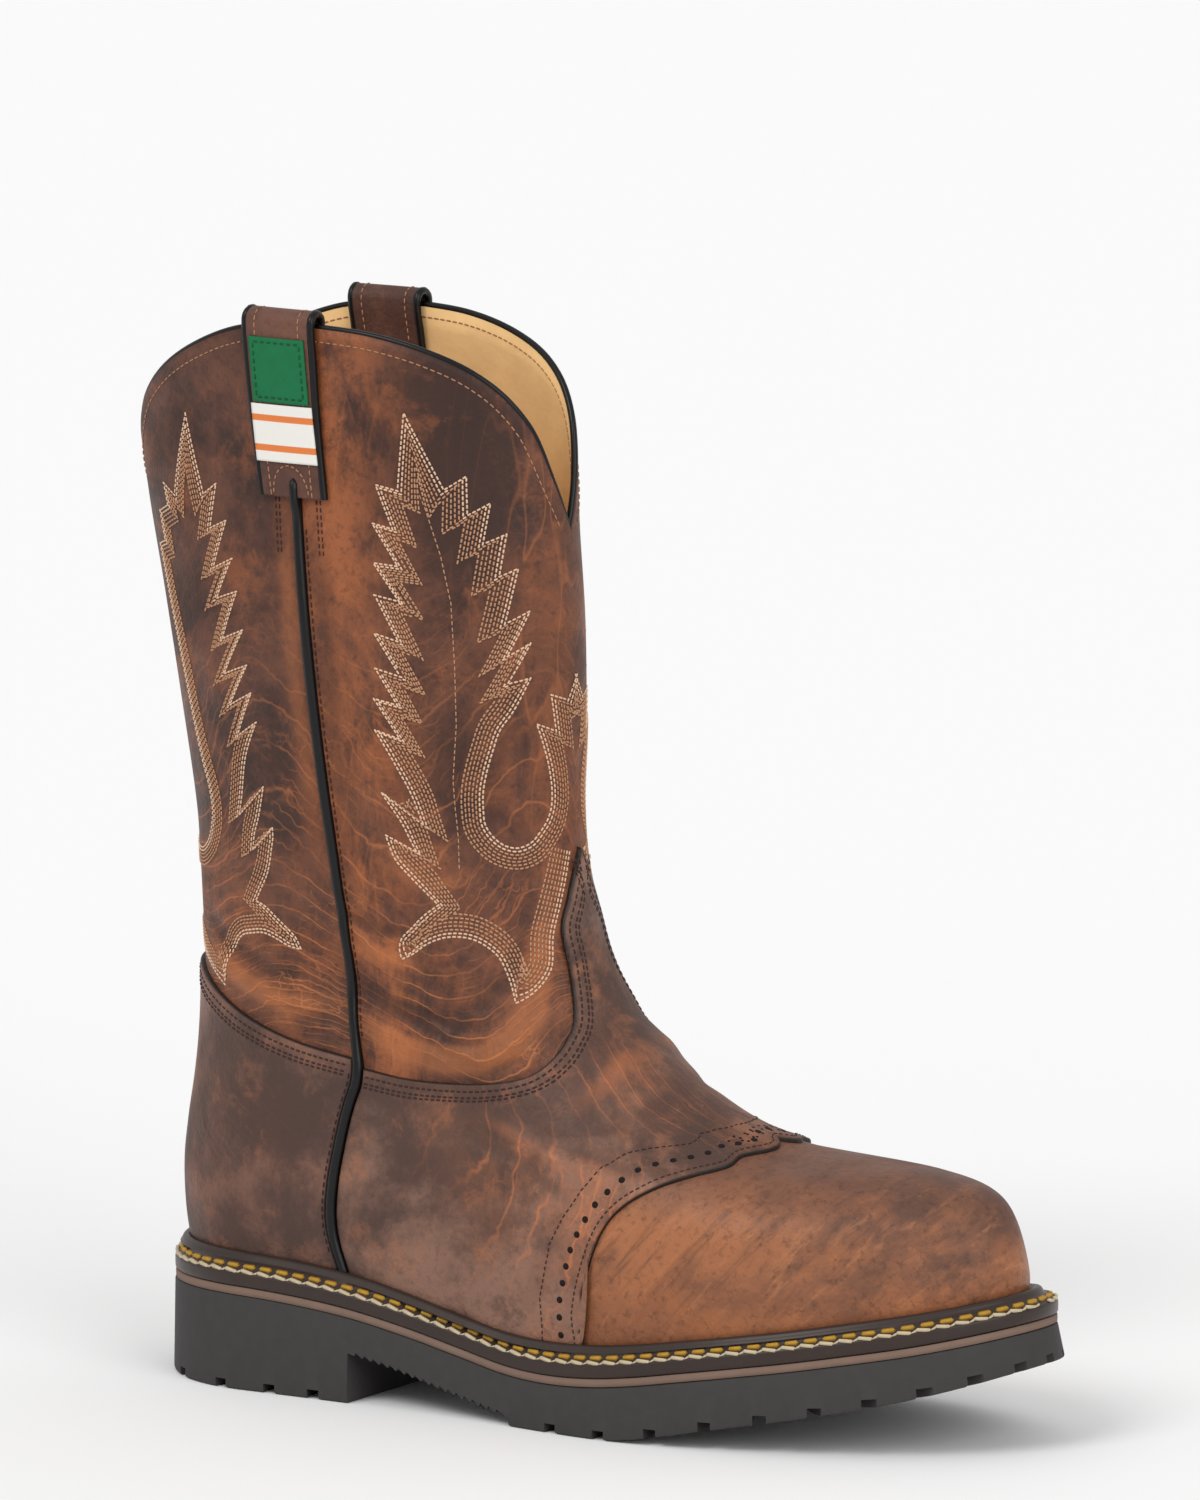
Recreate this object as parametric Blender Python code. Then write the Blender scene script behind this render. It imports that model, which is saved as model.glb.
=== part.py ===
"""Western work boot, the right shoe, standing on its sole.

+X points to the toe, +Y to the inner side of the foot and +Z up. The origin lies on the floor at the
middle of the heel's tread. Every table is in millimetres, counted from the back of the sole and up
from the floor. A place on the upper is given by its turn (0 at the front, 0.25 at the outer side,
0.5 at the back, 0.75 at the inner side) and its level (a row of the FORM table, with shares between).
"""
import math

import bpy
import numpy as np

MM = 0.001

# Main sizes
SOLE_LENGTH = 316.5
HEEL_CENTRE = 50.0
HEEL_BREAST = 87.5
TREAD_BACK = 152.0
MIDSOLE_THICK = 2.7
WALL = 2.2
INSOLE_THICK = 3.0
PANEL_THICK = 1.4
PIPING_WIDTH = 4.4
PIPING_RISE = 2.0
CORD_RADIUS = 1.1
STRAP_THICK = 1.9
LABEL_THICK = 0.7
GROOVE_DEPTH = 2.9
GROOVE_WIDTH = 4.4
RIB_PITCH = 3.3
RIB_DEPTH = 1.1

# The tables are drawn for a sole of 316.5 mm, and their distances along it stretch with the real one
STRETCH = SOLE_LENGTH / 316.5

# Clearances between pieces that meet
GAP = 0.3
PANEL_GAP = 0.9

# How finely the round forms are divided
TURNS = 56
FLAT_ROWS = 10

# Sole outline: share of the length, half width, shift of the middle to the inner side
SOLE_OUTLINE = np.array([
    (0.000, 45.0, 0.0),
    (0.140, 45.0, 0.0),
    (0.276, 44.5, -0.8),
    (0.360, 43.0, -3.0),
    (0.460, 45.5, -2.8),
    (0.530, 50.0, -1.2),
    (0.600, 54.0, 1.2),
    (0.680, 55.3, 4.0),
    (0.760, 55.0, 7.0),
    (0.840, 54.5, 9.0),
    (0.920, 54.0, 10.3),
    (1.000, 54.0, 10.5),
])
HEEL_ROUND = 0.1424
TOE_ROUND = 0.31

# Top of the outsole along the length: distance from the back, height
SOLE_TOP = np.array([
    (-30, 30.3), (0, 30.5), (40, 31.0), (63, 30.0), (87, 27.8), (110, 24.0), (132, 19.6), (149, 16.4),
    (167, 15.4), (185, 16.4), (201, 18.5), (217, 21.2), (232, 23.6), (251, 26.6), (269, 29.7),
    (290, 33.4), (304, 36.4), (317, 39.4), (340, 44.0),
]) * (STRETCH, 1)

# Bottom of the tread along the length: distance from the back, height
SOLE_BOTTOM = np.array([
    (-30, 0), (0, 0), (150, 0), (192, 0), (205, 2.0), (226, 6.3), (242, 9.3), (256, 12.0), (277, 16.3),
    (293, 20.2), (304, 23.4), (317, 27.6), (340, 34.0),
]) * (STRETCH, 1)

# Underside of the waist between heel and forefoot tread: distance from the back, height
WAIST = np.array([(87.5, 16.4), (106, 12.9), (118, 10.0), (134, 6.4), (152, 2.6)]) * (STRETCH, 1)

# Islands in the tread: middle x, middle y, half length, half width
HEEL_ISLAND = np.array([50.0, 0.0, 23.0, 15.0]) * (STRETCH, 1, STRETCH, 1)
FORE_ISLAND = np.array([224.0, 4.0, 60.0, 27.0]) * (STRETCH, 1, STRETCH, 1)

# Tread grooves on each side: x at the outline, x at the island
HEEL_GROOVES = np.array([(74, 66), (57, 54), (38, 42), (18, 33), (4, 28.5)]) * STRETCH
FORE_GROOVES = np.array([
    (169, 172), (188, 187), (207, 202), (226, 217), (244, 231),
    (261, 244), (277, 256), (292, 266), (304.5, 275), (313.5, 281),
]) * STRETCH

# Welt section: measured from "edge" (sole edge) or "leg" (upper), distance inward or outward, height
WELT_SECTION = [
    ("edge", 0.4, 0.0), ("edge", 0.0, 0.6), ("edge", 0.0, 4.5), ("edge", 0.7, 5.1), ("edge", 2.8, 5.2),
    ("leg", 4.2, 5.7), ("leg", 2.9, 8.1), ("leg", 1.4, 9.2), ("leg", 0.2, 8.9), ("leg", 0.0, 0.0),
]

# Form of the upper, a row per ring from the welt to the collar:
# back x, back z, front x, front z, back rounding, front rounding,
# half width at shares 0, 0.25, 0.5, 0.75 and 1 of the length, follows the sole top, follows its swing
FORM = np.array([
    (7.0, 33.95, 305.5, 40.3, 0.15, 0.31, 35.0, 35.0, 38.5, 46.5, 43.5, 1.0, 1.0),
    (3.5, 50.0, 307.5, 56.0, 0.15, 0.31, 35.5, 36.0, 40.5, 48.0, 44.0, 0.9, 1.0),
    (2.2, 67.0, 299.5, 77.5, 0.16, 0.31, 35.0, 36.0, 40.5, 46.0, 38.5, 0.6, 1.0),
    (3.5, 82.0, 280.0, 85.5, 0.17, 0.33, 33.5, 35.0, 40.0, 38.5, 27.5, 0.3, 1.0),
    (5.5, 96.0, 251.0, 87.5, 0.19, 0.45, 32.0, 34.0, 38.0, 35.5, 22.5, 0.1, 0.9),
    (6.8, 110.0, 225.5, 91.0, 0.22, 0.50, 31.0, 33.0, 36.0, 37.0, 25.5, 0.0, 0.7),
    (7.5, 124.0, 200.5, 100.0, 0.25, 0.50, 31.0, 32.0, 34.5, 38.5, 35.0, 0.0, 0.45),
    (7.2, 138.0, 178.5, 115.0, 0.30, 0.50, 31.0, 32.0, 32.5, 37.5, 40.0, 0.0, 0.25),
    (6.2, 152.0, 162.5, 131.5, 0.36, 0.50, 31.5, 32.0, 33.0, 37.0, 38.5, 0.0, 0.1),
    (5.2, 168.0, 152.5, 152.0, 0.43, 0.50, 33.0, 33.5, 34.5, 36.0, 37.0, 0.0, 0.0),
    (3.8, 187.0, 146.5, 185.0, 0.50, 0.50, 36.0, 36.5, 36.5, 36.5, 36.0, 0.0, 0.0),
    (-1.5, 222.0, 146.5, 222.0, 0.50, 0.50, 39.5, 39.5, 39.5, 39.5, 39.5, 0.0, 0.0),
    (-7.5, 255.0, 146.0, 255.0, 0.50, 0.50, 40.0, 40.0, 40.0, 40.0, 40.0, 0.0, 0.0),
    (-14.5, 287.0, 144.5, 287.0, 0.50, 0.50, 37.0, 37.0, 37.0, 37.0, 37.0, 0.0, 0.0),
    (-19.5, 318.0, 144.5, 318.0, 0.50, 0.50, 34.5, 34.5, 34.5, 34.5, 34.5, 0.0, 0.0),
    (-21.5, 352.0, 146.0, 352.0, 0.50, 0.50, 33.0, 33.0, 33.0, 33.0, 33.0, 0.0, 0.0),
])
FORM[:, [0, 2]] *= STRETCH

# Sideways swing of the foot: share of the sole length, shift to the inner side
SWING = np.array([
    (0.00, 0.0), (0.25, 0.0), (0.45, -3.4), (0.60, -0.9), (0.70, 2.8), (0.80, 6.6), (0.90, 9.6),
    (1.00, 10.0), (1.10, 10.0),
])

# Collar edge of the leather: turn away from the front or back, height at the front, at the back
COLLAR = np.array([
    (0.00, 284.5, 284.5), (0.03, 299.5, 297.0), (0.06, 316.0, 309.0), (0.09, 327.5, 320.0),
    (0.12, 335.5, 329.0), (0.16, 342.5, 338.5), (0.20, 346.8, 345.5), (0.25, 348.6, 348.6),
])

# Side seam: level, turn
SIDE_SEAM = np.array([
    (0.6, 0.333), (1.4, 0.336), (2.2, 0.332), (3.0, 0.325), (4.4, 0.306), (5.5, 0.289), (6.2, 0.281),
    (7.2, 0.268), (8.3, 0.254), (9.5, 0.249), (11.0, 0.251), (13.2, 0.252),
])

# Vamp edges from the side seam (share 0) to the middle of the instep (share 1): share, turn, level
VAMP_BOTTOM = np.array([
    (0.00, 0.333, 0.68), (0.12, 0.292, 0.68), (0.25, 0.250, 0.68), (0.31, 0.229, 0.70),
    (0.37, 0.227, 1.15), (0.43, 0.221, 1.65), (0.48, 0.213, 2.10), (0.54, 0.200, 2.55),
    (0.60, 0.182, 2.95), (0.66, 0.160, 3.30), (0.73, 0.132, 3.70), (0.80, 0.105, 4.25),
    (0.88, 0.068, 4.65), (1.00, 0.000, 5.15),
])
VAMP_TOP = np.array([
    (0.00, 0.288, 5.50), (0.09, 0.262, 5.53), (0.23, 0.222, 5.80), (0.33, 0.193, 6.05),
    (0.44, 0.160, 6.40), (0.56, 0.125, 6.90), (0.67, 0.095, 7.40), (0.74, 0.075, 7.80),
    (0.785, 0.062, 8.25), (0.82, 0.053, 8.75), (0.85, 0.052, 9.10), (0.90, 0.034, 9.45),
    (1.00, 0.000, 9.90),
])

# Counter edges from the side seam (share 0) to the back (share 1): share, turn, level
COUNTER_BOTTOM = np.array([(0.0, 0.333, 0.68), (0.5, 0.4165, 0.68), (1.0, 0.5, 0.68)])
COUNTER_TOP = np.array([
    (0.00, 0.289, 5.70), (0.18, 0.326, 5.75), (0.32, 0.357, 5.95), (0.54, 0.403, 6.35),
    (0.78, 0.454, 6.75), (1.00, 0.500, 6.85),
])

# Pull strap from the foot of its outer leg over the collar to the foot of its inner leg:
# out from the leather, height above (or below) the collar edge, share of the full width
STRAP_PATH = np.array([
    (0.45, -55.0, 0.92), (0.45, -44.0, 0.94), (0.60, -32.0, 0.96), (0.90, -20.0, 0.98),
    (1.20, -9.0, 1.00), (1.30, -1.0, 1.00), (0.90, 2.2, 1.00), (-1.10, 3.3, 1.00),
    (-3.10, 2.2, 1.00), (-3.50, -1.0, 1.00), (-3.20, -9.0, 1.00), (-2.80, -22.0, 1.00),
])
STRAP_TURN = (0.264, 0.2535)
STRAP_HALF_WIDTH = 14.0

# Labels on the outer pull strap: lower and upper height below the collar, half width
PATCH = (-25.0, -4.0, 10.5)
TAG = (-44.0, -25.6, 11.5)


def cubic(places, values, wanted):
    """Smooth curve through rows of values."""
    places = np.asarray(places, float)
    values = np.asarray(values, float)
    wanted = np.asarray(wanted, float)
    slope = np.gradient(values, places, axis=0)
    i = np.clip(np.searchsorted(places, wanted, side="right") - 1, 0, len(places) - 2)
    step = places[i + 1] - places[i]
    t = np.clip((wanted - places[i]) / step, 0, 1)
    if values.ndim > 1:
        step = step[..., None]
        t = t[..., None]
    start = (1 + 2 * t) * (1 - t) ** 2 * values[i] + t * (1 - t) ** 2 * step * slope[i]
    end = t * t * (3 - 2 * t) * values[i + 1] + t * t * (t - 1) * step * slope[i + 1]
    return start + end


def rounding(share, back, front):
    """How far the ends of an outline are rounded in, 0 at the tips and 1 between them."""
    at_back = np.clip(share / back, 0, 1)
    at_front = np.clip((1 - share) / front, 0, 1)
    return np.sqrt(np.clip(1 - (1 - at_back) ** 2, 0, None)) * np.sqrt(np.clip(1 - (1 - at_front) ** 2, 0, None))


def sole_top(x):
    return cubic(SOLE_TOP[:, 0], SOLE_TOP[:, 1], x)


def sole_bottom(x):
    return np.maximum(cubic(SOLE_BOTTOM[:, 0], SOLE_BOTTOM[:, 1], x), 0.0)


def swing(x):
    return cubic(SWING[:, 0] * SOLE_LENGTH, SWING[:, 1], x)


def outline(turn, grow=0.0):
    """Edge of the sole in plan, grown outward by some millimetres."""
    angle = 2 * math.pi * np.asarray(turn, float)
    share = (1 + np.cos(angle)) / 2
    half = cubic(SOLE_OUTLINE[:, 0], SOLE_OUTLINE[:, 1], share)
    middle = cubic(SOLE_OUTLINE[:, 0], SOLE_OUTLINE[:, 2], share)
    half = half * rounding(share, HEEL_ROUND, TOE_ROUND)
    x = SOLE_LENGTH * share + grow * np.cos(angle)
    y = middle - np.sign(np.sin(angle)) * half - grow * np.sin(angle)
    return x, y


def form(turn, level):
    """Outer surface of the upper."""
    turn, level = np.broadcast_arrays(np.asarray(turn, float), np.asarray(level, float))
    row = cubic(np.arange(len(FORM)), FORM, level)
    angle = 2 * math.pi * turn
    share = (1 + np.cos(angle)) / 2
    x = row[..., 0] + (row[..., 2] - row[..., 0]) * share
    straight = row[..., 1] + (row[..., 3] - row[..., 1]) * share
    back_top = sole_top(row[..., 0])
    chord_top = back_top + (sole_top(row[..., 2]) - back_top) * share
    z = straight + row[..., 11] * (sole_top(x) - chord_top)
    widths = row[..., 6:11]
    slope = np.gradient(widths, 0.25, axis=-1)
    i = np.clip((share / 0.25).astype(int), 0, 3)
    t = share / 0.25 - i

    def at(table, index):
        return np.take_along_axis(table, index[..., None], -1)[..., 0]

    half = (1 + 2 * t) * (1 - t) ** 2 * at(widths, i) + t * (1 - t) ** 2 * 0.25 * at(slope, i)
    half = half + t * t * (3 - 2 * t) * at(widths, i + 1) + t * t * (t - 1) * 0.25 * at(slope, i + 1)
    half = half * rounding(share, row[..., 4], row[..., 5])
    y = swing(x) * row[..., 12] - np.sign(np.sin(angle)) * half
    return np.stack([x, y, z], -1)


def form_speed(turn, level):
    """Millimetres moved round the upper for one full turn at this rate."""
    step = 0.002
    return np.linalg.norm(form(turn + step, level) - form(turn - step, level), axis=-1) / (2 * step)


def form_normal(turn, level):
    around = form(np.asarray(turn) + 0.002, level) - form(np.asarray(turn) - 0.002, level)
    upward = form(turn, np.asarray(level) + 0.02) - form(turn, np.asarray(level) - 0.02)
    normal = np.cross(upward, around)
    return normal / np.linalg.norm(normal, axis=-1, keepdims=True)


def skin(turn, level, out):
    """Point of the upper moved out (or in, when negative) along its normal."""
    return form(turn, level) + form_normal(turn, level) * np.asarray(out, float)[..., None]


def collar_height(turn):
    """Height of the collar's leather edge."""
    turn = np.asarray(turn, float) % 1.0
    away = np.abs((turn + 0.25) % 0.5 - 0.25)
    both = cubic(COLLAR[:, 0], COLLAR[:, 1:], away)
    front = np.minimum(turn, 1 - turn) < 0.25
    return np.where(front, both[..., 0], both[..., 1])


def level_at(height):
    """Level of a height on the shaft, where every ring lies flat."""
    return np.interp(height, FORM[10:, 1], np.arange(10, len(FORM)))


def make_material(name, colour, roughness):
    material = bpy.data.materials.new(name)
    material.use_nodes = True
    shader = material.node_tree.nodes["Principled BSDF"]
    shader.inputs["Base Color"].default_value = (*colour, 1.0)
    shader.inputs["Roughness"].default_value = roughness
    return material


def make_object(name, points, faces, material=None, smooth=True):
    """Object from points in millimetres; its faces are turned to look outward."""
    points = np.asarray(points, float).reshape(-1, 3) - np.array([HEEL_CENTRE, 0.0, 0.0])
    volume = 0.0
    for face in faces:
        for k in range(1, len(face) - 1):
            volume += np.dot(points[face[0]], np.cross(points[face[k]], points[face[k + 1]]))
    if volume < 0:
        faces = [tuple(reversed(face)) for face in faces]
    mesh = bpy.data.meshes.new(name)
    mesh.from_pydata([tuple(p) for p in points * MM], [], faces)
    mesh.update()
    if material is not None:
        mesh.materials.append(material)
    if smooth:
        mesh.shade_smooth()
        mesh.set_sharp_from_angle(angle=math.radians(38))
    result = bpy.data.objects.new(name, mesh)
    bpy.context.scene.collection.objects.link(result)
    return result


def ring_solid(name, grid, material, smooth=True):
    """Closed section (first index) carried round a closed path (second index)."""
    rows, columns = grid.shape[:2]
    faces = []
    for i in range(rows):
        for j in range(columns):
            k = (i + 1) % rows
            m = (j + 1) % columns
            faces.append((i * columns + j, i * columns + m, k * columns + m, k * columns + j))
    return make_object(name, grid, faces, material, smooth)


def plate_solid(name, loops, material, smooth=True):
    """Stack of outlines closed with strips that run from side to side."""
    rows, columns = loops.shape[:2]
    faces = []
    for i in range(rows - 1):
        for j in range(columns):
            m = (j + 1) % columns
            faces.append((i * columns + j, i * columns + m, (i + 1) * columns + m, (i + 1) * columns + j))
    for base, turned in ((0, True), ((rows - 1) * columns, False)):
        for j in range(columns // 2):
            corners = []
            for corner in (j, j + 1, columns - j - 1, (columns - j) % columns):
                if base + corner not in corners:
                    corners.append(base + corner)
            faces.append(tuple(reversed(corners)) if turned else tuple(corners))
    return make_object(name, loops, faces, material, smooth)


def patch_solid(name, outer, inner, material, smooth=True):
    """Solid between two open grids of the same size."""
    rows, columns = outer.shape[:2]
    count = rows * columns
    faces = []
    for i in range(rows - 1):
        for j in range(columns - 1):
            a = i * columns + j
            faces.append((a, a + 1, a + columns + 1, a + columns))
            faces.append((count + a + columns, count + a + columns + 1, count + a + 1, count + a))
    border = [j for j in range(columns)]
    border += [i * columns + columns - 1 for i in range(1, rows)]
    border += [(rows - 1) * columns + j for j in range(columns - 2, -1, -1)]
    border += [i * columns for i in range(rows - 2, 0, -1)]
    for k, a in enumerate(border):
        b = border[(k + 1) % len(border)]
        faces.append((b, a, count + a, count + b))
    return make_object(name, np.concatenate([outer.reshape(-1, 3), inner.reshape(-1, 3)]), faces, material, smooth)


def cut(target, cutter, label):
    cutter.hide_render = True
    cutter.display_type = "WIRE"
    modifier = target.modifiers.new(label, "BOOLEAN")
    modifier.operation = "DIFFERENCE"
    modifier.solver = "EXACT"
    modifier.object = cutter


def side_point(x, side):
    """Point of the sole outline at a distance from the back; side is -1 outer, 1 inner."""
    turn = math.acos(2 * x / SOLE_LENGTH - 1) / (2 * math.pi)
    px, py = outline(turn if side < 0 else 1 - turn)
    return float(px), float(py)


def island_point(island, x, side):
    cx, cy, half_length, half_width = island
    share = min(abs(x - cx) / half_length, 1.0)
    return x, cy + side * half_width * math.sqrt(1 - share * share)


def groove_box(start, end):
    """Eight corners of one groove from beyond the outline to the island."""
    sx, sy = start
    ex, ey = end
    length = math.hypot(ex - sx, ey - sy)
    dx, dy = (ex - sx) / length, (ey - sy) / length
    sx, sy = sx - 4 * dx, sy - 4 * dy
    ex, ey = ex + 0.5 * dx, ey + 0.5 * dy
    half = GROOVE_WIDTH / 2
    corners = []
    for x, y in ((sx, sy), (ex, ey)):
        top = float(sole_bottom(x)) + GROOVE_DEPTH
        for side in (-half, half):
            corners.append((x - dy * side, y + dx * side, top))
            corners.append((x - dy * side, y + dx * side, -6.0))
    return corners


BOX_FACES = [(0, 1, 3, 2), (4, 6, 7, 5), (0, 4, 5, 1), (2, 3, 7, 6), (0, 2, 6, 4), (1, 5, 7, 3)]


def make_outsole(material):
    turn = np.arange(TURNS) / TURNS
    loops = []
    x, y = outline(turn)
    flare = 0.5 + 1.7 * (x / SOLE_LENGTH) ** 2
    for grow, from_top, from_bottom in ((-0.8, None, 0.0), (0.0, None, 1.0), (None, 0.8, None), (-0.6, 0.0, None)):
        if grow is None:
            gx, gy = outline(turn)
        else:
            gx, gy = outline(turn, grow + (flare if from_bottom is not None else 0.0))
        if from_bottom is not None:
            z = sole_bottom(gx) + from_bottom
        else:
            z = sole_top(gx) - from_top
        loops.append(np.stack([gx, gy, z], -1))
    outsole = plate_solid("outsole", np.array(loops), material)

    profile = [(HEEL_BREAST, -5.0), (HEEL_BREAST, float(WAIST[0, 1]))]
    teeth = int((TREAD_BACK - HEEL_BREAST) / RIB_PITCH)
    for k in range(1, teeth):
        x = HEEL_BREAST + k * RIB_PITCH
        z = float(np.interp(x, WAIST[:, 0], WAIST[:, 1]))
        profile.append((x - 0.25 * RIB_PITCH, z))
        profile.append((x, z + RIB_DEPTH))
    profile += [(TREAD_BACK, float(WAIST[-1, 1])), (TREAD_BACK, -5.0)]
    count = len(profile)
    reach = 1.1 * SOLE_OUTLINE[:, 1].max()
    points = [(x, y, z) for y in (-reach, reach) for x, z in profile]
    faces = [tuple(range(count)), tuple(range(2 * count - 1, count - 1, -1))]
    for k in range(count):
        m = (k + 1) % count
        faces.append((m, k, count + k, count + m))
    cut(outsole, make_object("waist_cutter", points, faces), "waist")

    points = []
    faces = []
    for island, grooves in ((HEEL_ISLAND, HEEL_GROOVES), (FORE_ISLAND, FORE_GROOVES)):
        for x_edge, x_island in grooves:
            for side in (-1, 1):
                corners = groove_box(side_point(x_edge, side), island_point(island, x_island, side))
                base = len(points)
                points += corners
                faces += [tuple(base + k for k in face) for face in BOX_FACES]
    tip_x, tip_y = outline(0.0)
    base = len(points)
    island_tip = (FORE_ISLAND[0] + FORE_ISLAND[2], FORE_ISLAND[1])
    points += groove_box((float(tip_x), float(tip_y)), island_tip)
    faces += [tuple(base + k for k in face) for face in BOX_FACES]
    cut(outsole, make_object("groove_cutter", points, faces), "grooves")

    angle = np.arange(28) / 28 * 2 * math.pi
    for label, island in (("heel", HEEL_ISLAND), ("fore", FORE_ISLAND)):
        cx, cy, half_length, half_width = island
        rings = []
        for grow, low in ((0.0, True), (0.0, False), (GROOVE_WIDTH, False), (GROOVE_WIDTH, True)):
            x = cx + (half_length + grow) * np.cos(angle)
            y = cy + (half_width + grow) * np.sin(angle)
            z = np.full_like(x, -6.0) if low else sole_bottom(x) + GROOVE_DEPTH
            rings.append(np.stack([x, y, z], -1))
        cutter = ring_solid(label + "_ring_cutter", np.array(rings), None)
        cut(outsole, cutter, label + " ring")
    return outsole


def make_midsole(material):
    turn = np.arange(TURNS) / TURNS
    loops = []
    for grow, rise in ((-0.9, 0.0), (-0.5, 0.4), (-0.5, MIDSOLE_THICK - 0.4), (-0.9, MIDSOLE_THICK)):
        x, y = outline(turn, grow)
        loops.append(np.stack([x, y, sole_top(x) + GAP + rise], -1))
    return plate_solid("midsole", np.array(loops), material)


def welt_base(x):
    return sole_top(x) + MIDSOLE_THICK + 2 * GAP


def make_welt(material):
    turn = np.arange(TURNS) / TURNS
    edge_x, edge_y = outline(turn)
    rings = []
    for start, distance, height in WELT_SECTION:
        leg = skin(turn, np.full(TURNS, height / 17.0), np.full(TURNS, PANEL_GAP))
        span = np.hypot(leg[:, 0] - edge_x, leg[:, 1] - edge_y)
        share = distance / span if start == "edge" else 1 - distance / span
        x = edge_x + (leg[:, 0] - edge_x) * share
        y = edge_y + (leg[:, 1] - edge_y) * share
        rings.append(np.stack([x, y, welt_base(x) + height], -1))
    return ring_solid("welt", np.array(rings), material)


def make_insole(material):
    turn = np.arange(TURNS) / TURNS
    loops = []
    for level, rise in ((0.04, 0.0), (0.2, INSOLE_THICK)):
        edge = skin(turn, np.full(TURNS, level), np.full(TURNS, -WALL - PANEL_GAP))
        z = welt_base(edge[:, 0]) + rise
        loops.append(np.stack([edge[:, 0], edge[:, 1], z], -1))
    return plate_solid("insole", np.array(loops), material)


def make_upper(material):
    turn = np.arange(TURNS) / TURNS
    low = [0, 0.7, 1.4, 2.0, 2.6, 3.1, 3.6, 4.2, 4.8, 5.5, 6.2, 7.0, 7.7, 8.3, 8.9, 9.3, 9.65, 10.0]
    top = level_at(collar_height(turn))
    levels = [np.full(TURNS, value) for value in low]
    for share in (0.33, 0.66, 0.87, 1.0):
        levels.append(low[-1] + (top - low[-1]) * share)
    outer = [skin(turn, level, np.zeros(TURNS)) for level in levels]
    inner_levels = [levels[-1], levels[-2], levels[-3]] + levels[-4:0:-2] + [levels[0]]
    inner = [skin(turn, level, np.full(TURNS, -WALL)) for level in inner_levels]
    inner[0][:, 2] = outer[-1][:, 2]
    inner[-1][:, 2] = welt_base(inner[-1][:, 0])
    return ring_solid("upper", np.array(outer + inner), material)


def seam_turn(level):
    return cubic(SIDE_SEAM[:, 0], SIDE_SEAM[:, 1], level)


def panel_grid(bottom, top, shares, rows, reach, side, edge_shift):
    """Turns and levels of a panel that starts at the side seam, for one side of the boot."""
    low = cubic(bottom[:, 0], bottom[:, 1:], shares)
    high = cubic(top[:, 0], top[:, 1:], shares)
    turns = []
    levels = []
    for b in np.linspace(0, 1, rows) ** 1.5:
        level = low[:, 1] + (high[:, 1] - low[:, 1]) * b
        turn = low[:, 0] + (high[:, 0] - low[:, 0]) * b
        straight = low[0, 0] + (high[0, 0] - low[0, 0]) * b
        seam_level = low[0, 1] + (high[0, 1] - low[0, 1]) * b
        seam = float(seam_turn(seam_level))
        shift = edge_shift / float(form_speed(seam, seam_level))
        turn = turn + np.clip(1 - shares / reach, 0, 1) * (seam + shift - straight)
        turns.append(turn)
        levels.append(level)
    turns = np.array(turns)
    if side > 0:
        turns = -turns
    return turns, np.array(levels)


def two_sided(bottom, top, columns, reach, edge_shift, through_front):
    """Panel grid that runs from one side seam over the front or back to the other."""
    shares = np.linspace(0, 1, columns)
    outer_turn, outer_level = panel_grid(bottom, top, shares, FLAT_ROWS, reach, -1, edge_shift)
    inner_turn, inner_level = panel_grid(bottom, top, shares, FLAT_ROWS, reach, 1, edge_shift)
    if not through_front:
        inner_turn = inner_turn + 1.0
    turn = np.concatenate([outer_turn, inner_turn[:, -2::-1]], axis=1)
    level = np.concatenate([outer_level, inner_level[:, -2::-1]], axis=1)
    return turn, level


def make_panel(name, turn, level, material):
    outer = skin(turn, level, np.full(turn.shape, PANEL_GAP + PANEL_THICK))
    inner = skin(turn, level, np.full(turn.shape, PANEL_GAP))
    return patch_solid(name, outer, inner, material)


def make_piping(name, side, material):
    """Rounded cord over the side seam, from the welt to the foot of the pull strap."""
    level = np.linspace(0.72, 13.05, 20)
    centre = seam_turn(level)
    speed = form_speed(centre, level)
    outer = []
    inner = []
    for across, rise in ((-1.0, 0.35), (-0.6, 0.85), (0.0, 1.0), (0.6, 0.85), (1.0, 0.35)):
        turn = centre + across * PIPING_WIDTH / 2 / speed
        if side > 0:
            turn = -turn
        outer.append(skin(turn, level, np.full(level.shape, PANEL_GAP + PIPING_RISE * rise)))
        inner.append(skin(turn, level, np.full(level.shape, PANEL_GAP)))
    return patch_solid(name, np.array(outer), np.array(inner), material)


def strap_frame(side, path):
    """Middle line of a strap: turn, collar height and width for each row of the path."""
    share = np.clip(path[:, 1] / STRAP_PATH[0, 1], 0, 1)
    turn = STRAP_TURN[0] + (STRAP_TURN[1] - STRAP_TURN[0]) * share
    return turn if side < 0 else 1 - turn


def strap_points(side, path, half_width, across):
    """Grid of points of a band that follows the shaft; its rows follow the path."""
    turn = strap_frame(side, path)
    rim = float(collar_height(0.25))
    height = rim + path[:, 1]
    level = level_at(np.minimum(height, rim))
    rows = []
    for share in across:
        speed = form_speed(turn, level)
        place = turn + share * half_width * path[:, 2] / speed
        point = skin(place, level, path[:, 0])
        point[:, 2] = height
        rows.append(point)
    return np.array(rows)


def make_strap(name, side, material):
    path = STRAP_PATH.copy()
    step = np.gradient(path[:, :2], axis=0)
    step = step / np.linalg.norm(step, axis=1, keepdims=True)
    outer_path = path.copy()
    outer_path[:, 0] = path[:, 0] + step[:, 1] * STRAP_THICK
    outer_path[:, 1] = path[:, 1] - step[:, 0] * STRAP_THICK
    across = np.linspace(-1, 1, 6)
    inner = strap_points(side, path, STRAP_HALF_WIDTH, across)
    outer = strap_points(side, outer_path, STRAP_HALF_WIDTH, across)
    return patch_solid(name, outer, inner, material)


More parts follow.
